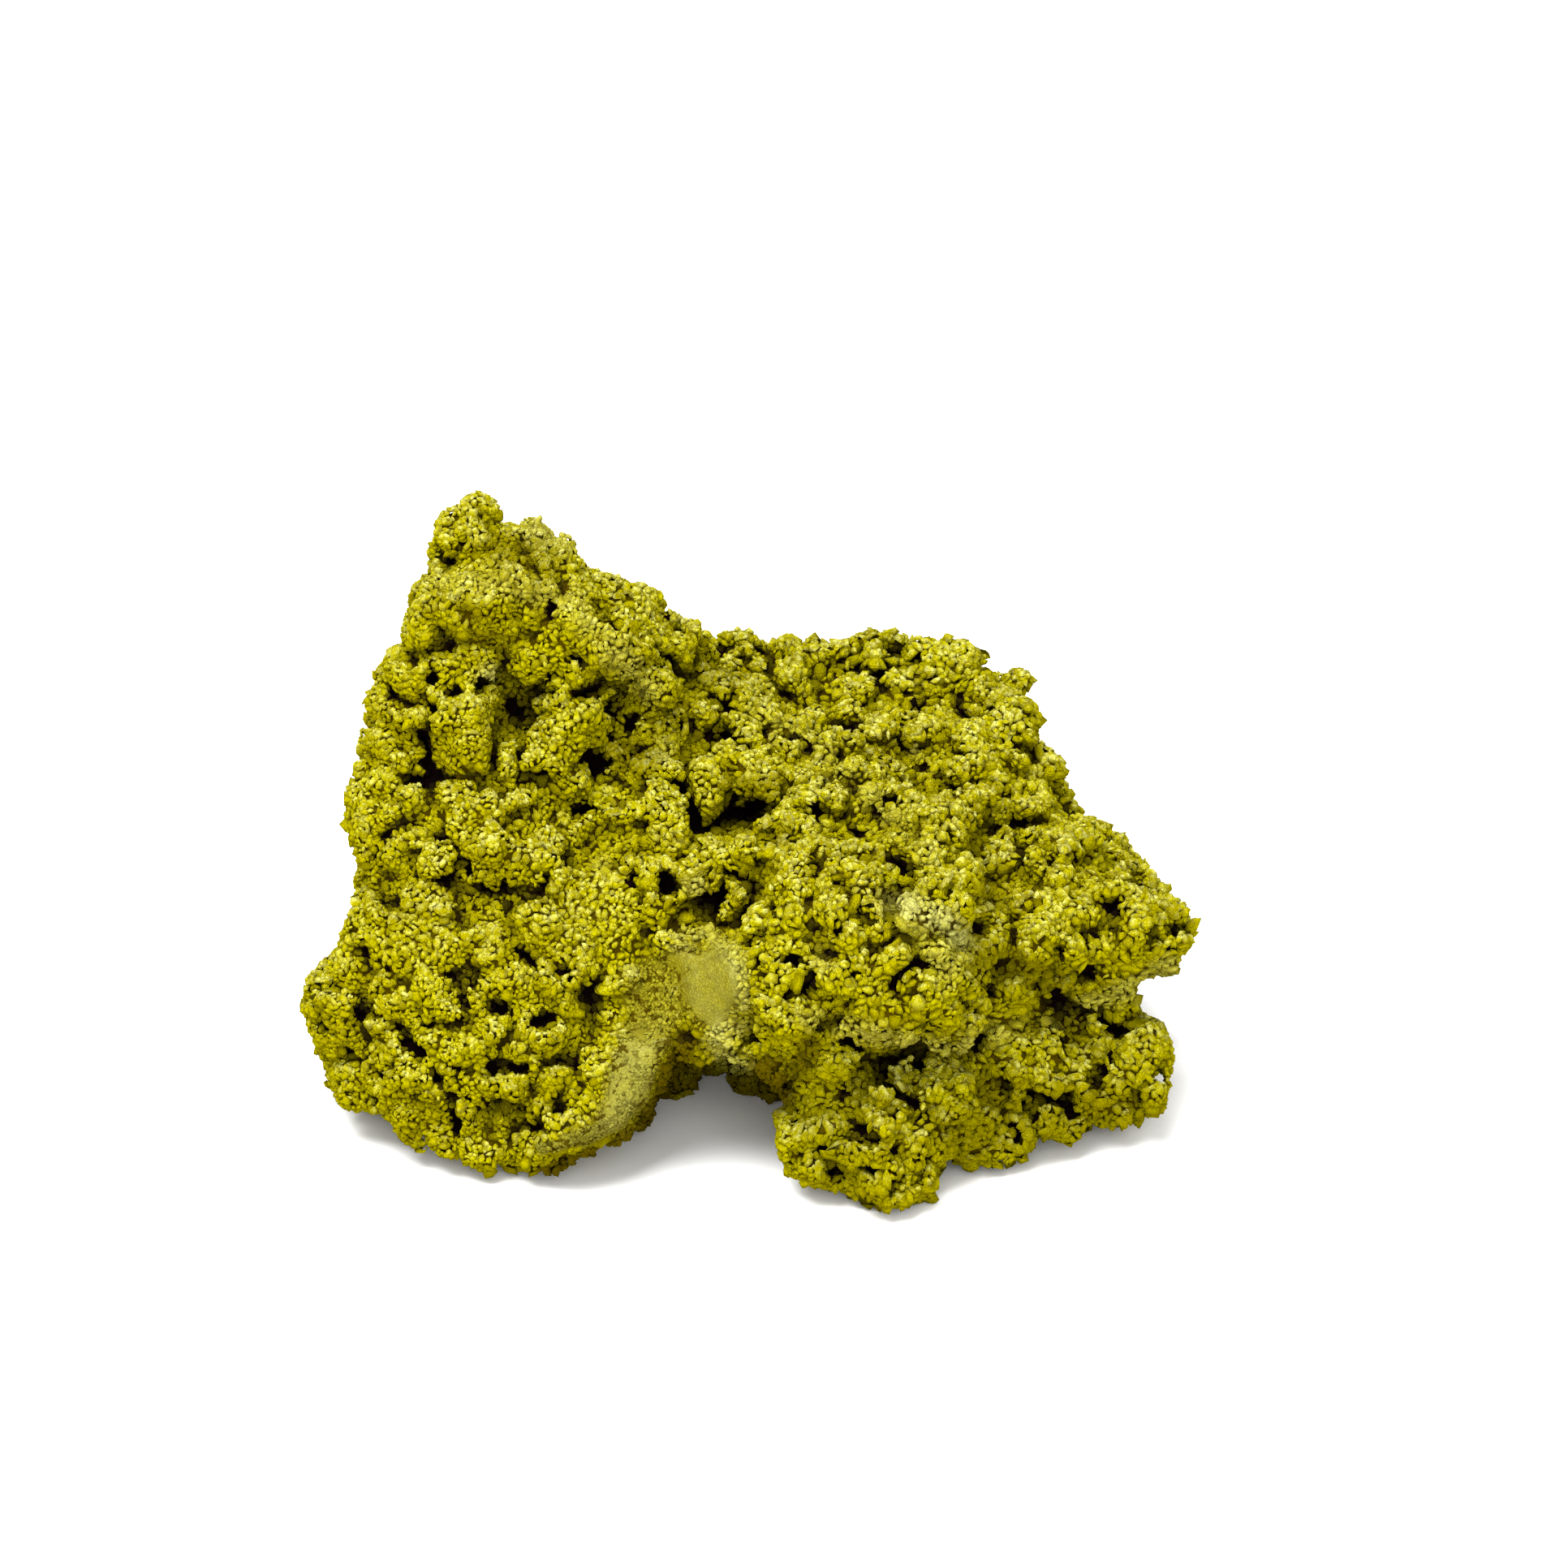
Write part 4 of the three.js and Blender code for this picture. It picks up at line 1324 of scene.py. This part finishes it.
def make_piece(
    name: str, surface: Surface, data: dict[str, Array], uv: Array | None = None
) -> bpy.types.Object:
    """Make a smooth mesh object.

    Args:
        name: Its name.
        surface: Its shape, in millimetres.
        data: Numbers to keep at each corner, by name.
        uv: A place in the texture for each corner.

    Returns:
        The object, linked to the scene.
    """
    mesh = bpy.data.meshes.new(name)
    total = len(surface.triangles)
    mesh.vertices.add(len(surface.points))
    mesh.vertices.foreach_set("co", (surface.points * MM).astype(np.float32).ravel())
    mesh.loops.add(3 * total)
    mesh.loops.foreach_set("vertex_index", surface.triangles.astype(np.int32).ravel())
    mesh.polygons.add(total)
    mesh.polygons.foreach_set("loop_start", np.arange(0, 3 * total, 3, dtype=np.int32))
    mesh.polygons.foreach_set("use_smooth", np.ones(total, bool))
    mesh.update(calc_edges=True)
    for key, values in data.items():
        layer = mesh.attributes.new(key, "FLOAT", "POINT")
        layer.data.foreach_set("value", values.astype(np.float32))
    if uv is not None:
        layer = mesh.uv_layers.new(name="OFBake")
        layer.data.foreach_set("uv", uv[surface.triangles.ravel()].astype(np.float32).ravel())
    made = bpy.data.objects.new(name, mesh)
    bpy.context.scene.collection.objects.link(made)
    LOG.info("%s: %d triangles", name, total)
    return made


@dataclass(frozen=True)
class Band:
    """The part of a number's range over which an effect fades in.

    Args:
        low, high: Where it starts and where it is full; high may be below low.
        share: How strong it is when it is full.
    """

    low: float
    high: float
    share: float = 1.0


@dataclass(frozen=True)
class Noise:
    """Smooth noise over a material.

    Args:
        size: Size of its features in millimetres.
        detail: How much finer detail it has.
    """

    size: float
    detail: float = 2.0


class Wiring:
    """Short ways to add and join a material's nodes.

    Args:
        name: The material's name.
    """

    def __init__(self, name: str) -> None:
        """Start a material with its usual shader.

        Args:
            name: The material's name.
        """
        self.material = bpy.data.materials.new(name)
        self.material.use_nodes = True
        self.tree = self.material.node_tree
        self.shader = self.tree.nodes["Principled BSDF"]

    def add(self, kind: str, inputs: dict | None = None, **settings: object) -> bpy.types.Node:
        """Add a node.

        Args:
            kind: Its type, without the leading ShaderNode.
            inputs: What each socket gets, by name or number: a value, or a socket to join.
            settings: Its other properties.

        Returns:
            The node.
        """
        node = self.tree.nodes.new("ShaderNode" + kind)
        for key, value in settings.items():
            setattr(node, key, value)
        for key, value in (inputs or {}).items():
            self.put(node.inputs[key], value)
        return node

    def put(self, socket: Socket, value: object) -> None:
        """Set a socket's value, or join another socket to it.

        Args:
            socket: The socket that is set.
            value: A plain value, or the socket to join.
        """
        if isinstance(value, bpy.types.NodeSocket):
            self.tree.links.new(value, socket)
        else:
            socket.default_value = value

    def number(self, name: str) -> Socket:
        """Return the mesh's own number of that name."""
        return self.add("Attribute", attribute_name=name).outputs["Fac"]

    def place(self) -> Socket:
        """Return the place on the piece, in metres."""
        return self.add("TexCoord").outputs["Object"]

    def upward(self) -> Socket:
        """Return how far the surface faces up, from -1 to 1."""
        return self.add("SeparateXYZ", {0: self.add("NewGeometry").outputs["Normal"]}).outputs["Z"]

    def math(self, operation: str, *values: object) -> Socket:
        """Work out one sum on numbers or sockets.

        Args:
            operation: The sum's name.
            values: What goes into it, in order.

        Returns:
            The result, kept between 0 and 1 for every sum but ADD.
        """
        clamp = operation != "ADD"
        inputs = dict(enumerate(values))
        return self.add("Math", inputs, operation=operation, use_clamp=clamp).outputs[0]

    def times(self, first: object, second: object) -> Socket:
        """Return the product of two numbers."""
        return self.math("MULTIPLY", first, second)

    def most(self, first: object, second: object) -> Socket:
        """Return the greater of two numbers."""
        return self.math("MAXIMUM", first, second)

    def fade(self, value: object, band: Band) -> Socket:
        """Fade an effect in over a band.

        Args:
            value: The number that decides.
            band: Where the effect starts and is full, and how strong it is.

        Returns:
            The effect's strength, eased.
        """
        inputs = {"Value": value, "From Min": band.low, "From Max": band.high}
        eased = self.add("MapRange", inputs, interpolation_type="SMOOTHSTEP").outputs["Result"]
        return eased if band.share == 1 else self.times(eased, band.share)

    def blend(self, share: object, first: object, second: object) -> Socket:
        """Mix two colours.

        Args:
            share: 0 for the first and 1 for the second.
            first, second: The colours.

        Returns:
            The mixed colour.
        """
        node = self.add("Mix", data_type="RGBA")
        for number, value in zip(MIX_INPUTS, (share, first, second), strict=True):
            self.put(node.inputs[number], value)
        return node.outputs[MIX_OUTPUT]

    def noise(self, kind: Noise) -> Socket:
        """Return smooth noise of that kind."""
        inputs = {"Vector": self.place(), "Scale": 1 / (kind.size * MM), "Detail": kind.detail}
        return self.add("TexNoise", inputs).outputs["Fac"]


class Layer(Enum):
    """The crust's two layers; each one's value is its material's name."""

    BED = "clay_bed"
    GRAINS = "clay_grains"


@dataclass(frozen=True)
class ClayFinish:
    """Dry, earthy, yellow-olive clay: duller and darker in the pores by painted shade, lighter where it
    faces up by painted highlight, paler where it is rubbed.

    Args:
        layer: What the finish is for; grains carry a tint and a rim of their own.
        body, bright, pale, rubbed, shade, pit: Its colours, from usual to deepest; bright and pale also
            make the painted highlight, and shade and pit the painted shade.
        roughness: How matt it is.
        upward, facing, facing_share: How far the surface, and the ground under it, look up on a
        crest for its painted highlight, and how much the ground counts.
        open_ground: How uncrowded a crest lies, for its painted highlight.
        grit, gritty: The unevenness of the crests, and how it thins them.
        broad, broader: The wide, brighter areas.
        highlight_lift: How much brighter the painted highlight makes a crest.
        highlight_power: How narrow the pale painted highlight on a crest is.
        pale_tint: The grains with a stronger pale painted highlight on their ridge.
        blunt_ground, blunt_grit: How uncrowded and uneven the pale, blunt crests are.
        patchy, patches: The uneven colour of rubbed ground.
        patchy_least, patchy_share: How strong it is everywhere, and how much more in patches.
        speck, specked, worn_speck, rub_speck, polish_speck: The dark specks in rubbed ground.
        speck_share: How dark they are.
        rim, rim_noise, rim_part: The painted shade in the gaps round the grains, and where it shows.
        dull_tint: The grains that are duller.
        mottle, mottled: The dull mottling of the grains.
        unworn: How dark the painted shade makes the bed between the grains, less where it is rubbed.
        crowd_shade, crease_shade, under_shade: How strong the painted shade is in pores, in creases and
            on undersides.
        painted_shade_share: How dark the painted shade along DARKENED is.
        deep, deep_crowd: How deep and how crowded a pore's floor is, where painted shade makes it
            almost black.
        sheltered: How sheltered a place is that gets no light at all.
        fine_bump: Depth of the finest roughness.
        crack_size, crack, crumbs: The cracks and crumbs in that roughness.
    """

    layer: Layer
    body: Colour = linear(131, 123, 0)
    bright: Colour = linear(154, 148, 0)
    pale: Colour = linear(180, 178, 96)
    rubbed: Colour = linear(106, 101, 34)
    shade: Colour = linear(55, 42, 0)
    pit: Colour = linear(10, 4, 5)
    roughness: float = 0.92
    upward: Band = Band(-0.3, 1.0, 0.3)
    facing: Band = Band(-0.3, 0.85)
    facing_share: float = 0.7
    open_ground: Band = Band(0.52, 0.3)
    grit: Noise = Noise(0.7, 3)
    gritty: Band = Band(0.25, 0.7)
    broad: Noise = Noise(11)
    broader: Band = Band(0.35, 0.65, 0.35)
    highlight_lift: float = 0.8
    highlight_power: float = 3.0
    pale_tint: Band = Band(0.5, 1.3, 0.5)
    blunt_ground: Band = Band(0.5, 0.33)
    blunt_grit: Band = Band(0.25, 0.6)
    patchy: Noise = Noise(1.8, 4)
    patches: Band = Band(0.3, 0.65)
    patchy_share: float = 0.3
    patchy_least: float = 0.66
    speck: Noise = Noise(0.75, 1.5)
    specked: Band = Band(0.53, 0.6)
    worn_speck: Band = Band(0.1, 0.5)
    rub_speck: Band = Band(0.2, 0.05)
    polish_speck: Band = Band(1.3, 0.4)
    speck_share: float = 0.9
    rim: Band = Band(0.18, 0.85, 0.65)
    rim_noise: Noise = Noise(1.4)
    rim_part: Band = Band(0.3, 0.6)
    dull_tint: Band = Band(0.45, 0.0, 0.4)
    mottle: Noise = Noise(0.5, 2)
    mottled: Band = Band(0.56, 0.72, 0.6)
    unworn: float = 0.95
    crowd_shade: Band = Band(0.4, 0.62, 0.9)
    crease_shade: Band = Band(0.4, 0.62, 0.85)
    under_shade: Band = Band(0.05, -0.7, 0.6)
    painted_shade_share: float = 0.9
    deep: Band = Band(1.0, 2.4)
    deep_crowd: Band = Band(0.4, 0.58)
    sheltered: Band = Band(0.66, 0.85)
    fine_bump: float = 0.09
    crack_size: float = 0.45
    crack: Band = Band(0.0, 0.22)
    crumbs: Noise = Noise(0.35, 3)

    def material(self) -> bpy.types.Material:
        """Make the material.

        Returns:
            The material, with the colours from the open crests and their painted highlight down to the
            pores' floors in painted shade.
        """
        wire = Wiring(self.layer.value)
        # Painted shade: the shade colour, and near-black on the pores' floors.
        colour = wire.blend(self.shading(wire), self.open_colour(wire), self.shade)
        colour = wire.blend(self.pores(wire), colour, self.pit)
        wire.put(wire.shader.inputs["Base Color"], colour)
        wire.put(wire.shader.inputs["Normal"], self.relief(wire))
        wire.put(wire.shader.inputs["Roughness"], self.roughness)
        wire.put(wire.shader.inputs["Specular IOR Level"], 0.0)
        return wire.material

    def open_colour(self, wire: Wiring) -> Socket:
        """Colour the open ground: a painted highlight, brighter where it looks up and pale on crests,
        and dull where rubbed.

        Args:
            wire: The material's nodes.

        Returns:
            The colour.
        """
        worn, crowd, rub = (wire.number(name) for name in ("wear", "crowd", "rub"))
        grit = wire.noise(self.grit)
        broad = wire.fade(wire.noise(self.broad), self.broader)
        # Painted highlight: brighter and then pale where the surface and its ground face up, as if lit
        # from above.
        upward = wire.fade(wire.upward(), self.upward)
        facing = wire.fade(wire.number("face"), self.facing)
        crest = wire.math("MULTIPLY_ADD", facing, self.facing_share, upward)
        crest = wire.times(crest, wire.fade(crowd, self.open_ground))
        crest = wire.times(crest, wire.fade(grit, self.gritty))
        lift = wire.math("MULTIPLY_ADD", crest, self.highlight_lift, broad)
        colour = wire.blend(lift, self.body, self.bright)
        crest = wire.math("POWER", crest, self.highlight_power)
        if self.layer is Layer.GRAINS:
            tint = wire.fade(wire.number("tint"), self.pale_tint)
            crest = wire.math("ADD", crest, wire.times(tint, crest))
        blunt = wire.times(rub, wire.fade(crowd, self.blunt_ground))
        crest = wire.most(crest, wire.times(blunt, wire.fade(grit, self.blunt_grit)))
        colour = wire.blend(crest, colour, self.pale)
        patches = wire.fade(wire.noise(self.patchy), self.patches)
        patchy = wire.math("MULTIPLY_ADD", patches, self.patchy_share, self.patchy_least)
        colour = wire.blend(wire.times(patchy, worn), colour, self.rubbed)
        return wire.blend(wire.times(worn, rub), colour, self.pale)

    def shading(self, wire: Wiring) -> Socket:
        """Work out where the clay is darker: painted shade in pores, creases, gaps, below and in marked
        hollows, with dark specks and duller grains.

        Args:
            wire: The material's nodes.

        Returns:
            How dark it is, from 0 to 1.
        """
        specks = wire.fade(wire.noise(self.speck), self.specked)
        specks = wire.times(specks, wire.fade(wire.number("wear"), self.worn_speck))
        specks = wire.times(specks, wire.fade(wire.number("rub"), self.rub_speck))
        if self.layer is Layer.GRAINS:
            own = self.grain_shade(wire)
        else:
            # Painted shade on the bed that shows between the grains, lifted where it is worn.
            own = wire.math("SUBTRACT", self.unworn, wire.number("wear"))
            specks = wire.times(specks, wire.fade(wire.number("polish"), self.polish_speck))
        # Painted shade in crowded pores and in the fine creases between lobes.
        shade = wire.fade(wire.number("crowd"), self.crowd_shade)
        crease = wire.fade(wire.number("crease"), self.crease_shade)
        # Painted shade on the undersides, darker the more they face down.
        under = wire.fade(wire.upward(), self.under_shade)
        # Painted shade along the DARKENED chains, in hollows and under overhangs.
        painted_shade = wire.times(wire.number("painted_shade"), self.painted_shade_share)
        for dark in (crease, own, wire.times(specks, self.speck_share), under, painted_shade):
            shade = wire.most(shade, dark)
        return shade

    def grain_shade(self, wire: Wiring) -> Socket:
        """Work out where single grains are darker: painted shade at their rims, and duller by their
        tint and in mottles.

        Args:
            wire: The material's nodes.

        Returns:
            How dark they are, from 0 to 1.
        """
        # Painted shade at each grain's rim, in the gap round it.
        rim = wire.fade(wire.number("rim"), self.rim)
        rim = wire.times(rim, wire.fade(wire.noise(self.rim_noise), self.rim_part))
        dull = wire.most(rim, wire.fade(wire.number("tint"), self.dull_tint))
        return wire.most(dull, wire.fade(wire.noise(self.mottle), self.mottled))

    def pores(self, wire: Wiring) -> Socket:
        """Work out where painted shade makes the clay almost black.

        Args:
            wire: The material's nodes.

        Returns:
            1 on the floors of the pores and in sheltered depths, 0 in the open.
        """
        # Painted shade: near-black on deep, crowded pore floors and in sheltered depths.
        deep = wire.fade(wire.number("depth"), self.deep)
        pit = wire.times(deep, wire.fade(wire.number("crowd"), self.deep_crowd))
        return wire.most(pit, wire.fade(wire.number("shelter"), self.sheltered))

    def relief(self, wire: Wiring) -> Socket:
        """Roughen the surface with cracks and crumbs finer than the grains.

        Args:
            wire: The material's nodes.

        Returns:
            The bumped normal.
        """
        cells = {"Vector": wire.place(), "Scale": 1 / (self.crack_size * MM), "Randomness": 1.0}
        crack = wire.add("TexVoronoi", cells, feature="DISTANCE_TO_EDGE").outputs["Distance"]
        height = wire.math("ADD", wire.fade(crack, self.crack), wire.noise(self.crumbs))
        inputs = {"Strength": 1.0, "Distance": self.fine_bump * MM, "Height": height}
        return wire.add("Bump", inputs).outputs[0]


@dataclass
class Specimen:
    """The whole specimen: the bed and its grains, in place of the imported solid.

    Args:
        display: The plane in which the front's features are placed.
    """

    display: Display = field(default_factory=Display)

    def build(self) -> None:
        """Make every piece, dress it and say what it stands for."""
        form = SolidForm().field()
        LOG.info("field of %s samples", form.values.shape)
        bed = Bed(form, self.display)
        bed.build()
        points, normals = bed.visible.points, bed.visible.corner_normals()
        data = {"wear": bed.front.wear(points), "polish": bed.front.polish(points)}
        ground = make_piece("crust_bed", bed.visible, data | bed.looks(points, normals))
        ground.data.materials.append(ClayFinish(Layer.BED).material())
        grains = Grains(bed).build()
        clay = ClayFinish(Layer.GRAINS).material()
        for piece in grains:
            piece.data.materials.append(clay)
        for piece in (ground, *grains):
            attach(piece, BODY)
            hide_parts(NODE)


@dataclass(frozen=True)
class Lamp:
    """A soft square light that faces the specimen, with its place and size in metres.

    Args:
        name: Its name.
        place: Where it stands.
        size: Its side.
        power: Its power in watts.
        aim: The place that it faces.
    """

    name: str
    place: tuple[float, float, float]
    size: float
    power: float
    aim: tuple[float, float, float] = (0.0, 0.0, 0.02)

    def build(self) -> None:
        """Add the light to the scene."""
        lamp = bpy.data.lights.new(self.name, "AREA")
        lamp.size = self.size
        lamp.energy = self.power
        made = bpy.data.objects.new(self.name, lamp)
        made.location = self.place
        way = Vector(self.aim) - Vector(self.place)
        made.rotation_euler = way.to_track_quat("-Z", "Y").to_euler()
        bpy.context.scene.collection.objects.link(made)


@dataclass
class Studio:
    """A pale floor, soft light from above and a long lens.

    Args:
        display: The plane that the camera faces.
        aim: The place that it looks at.
        width: Width of what it sees.
        lens: Focal length.
        sensor: Width of the sensor.
        floor_size: The floor's side.
        floor_colour, floor_roughness: The floor's finish.
        air: Colour of the light from all round.
        lamps: The lights.
    """

    display: Display
    aim: Place = (4.18, 7.55)
    width: float = 175.64
    lens: float = 350.0
    sensor: float = 36.0
    floor_size: float = 6000.0
    floor_colour: Colour = (0.97, 0.97, 0.97, 1.0)
    floor_roughness: float = 0.9
    air: Colour = (1.0, 1.0, 1.0, 1.0)
    lamps: tuple[Lamp, ...] = (
        Lamp("key_light", (-0.4, -0.45, 1.55), 1.1, 62.5),
        Lamp("fill_light", (0.2, -2.0, 0.8), 1.6, 31.0),
    )

    def build(self) -> None:
        """Make the floor, the lights, the air and the camera."""
        self.floor()
        for lamp in self.lamps:
            lamp.build()
        world = bpy.data.worlds.new("studio_air")
        world.use_nodes = True
        backdrop = world.node_tree.nodes["Background"]
        backdrop.inputs["Color"].default_value = self.air
        backdrop.inputs["Strength"].default_value = 1.0
        bpy.context.scene.world = world
        bpy.context.scene.view_settings.view_transform = "Standard"
        self.camera()

    def floor(self) -> None:
        """Make the floor at height zero."""
        half = self.floor_size / 2
        corners = np.array([(-half, -half, 0), (half, -half, 0), (half, half, 0), (-half, half, 0)])
        floor = make_piece("floor", Surface(corners, np.array([(0, 1, 2), (0, 2, 3)])), {})
        wire = Wiring("pale_floor")
        wire.put(wire.shader.inputs["Base Color"], self.floor_colour)
        wire.put(wire.shader.inputs["Roughness"], self.floor_roughness)
        floor.data.materials.append(wire.material)

    def camera(self) -> None:
        """Add the camera, square to the display plane."""
        distance = self.width * self.lens / self.sensor
        lens = bpy.data.cameras.new("camera")
        lens.lens = self.lens
        lens.sensor_width = self.sensor
        made = bpy.data.objects.new("camera", lens)
        made.location = Vector(self.display.place(*self.aim, -distance)) * MM
        made.rotation_euler = (math.pi / 2 - self.display.tilt, 0, 0)
        bpy.context.scene.collection.objects.link(made)
        bpy.context.scene.camera = made


def main() -> None:
    """Build the specimen and its studio."""
    logging.basicConfig(level=logging.INFO, format="%(relativeCreated)6d %(message)s")
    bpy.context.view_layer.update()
    specimen = Specimen()
    specimen.build()
    Studio(specimen.display).build()


if __name__ == "__main__":
    main()
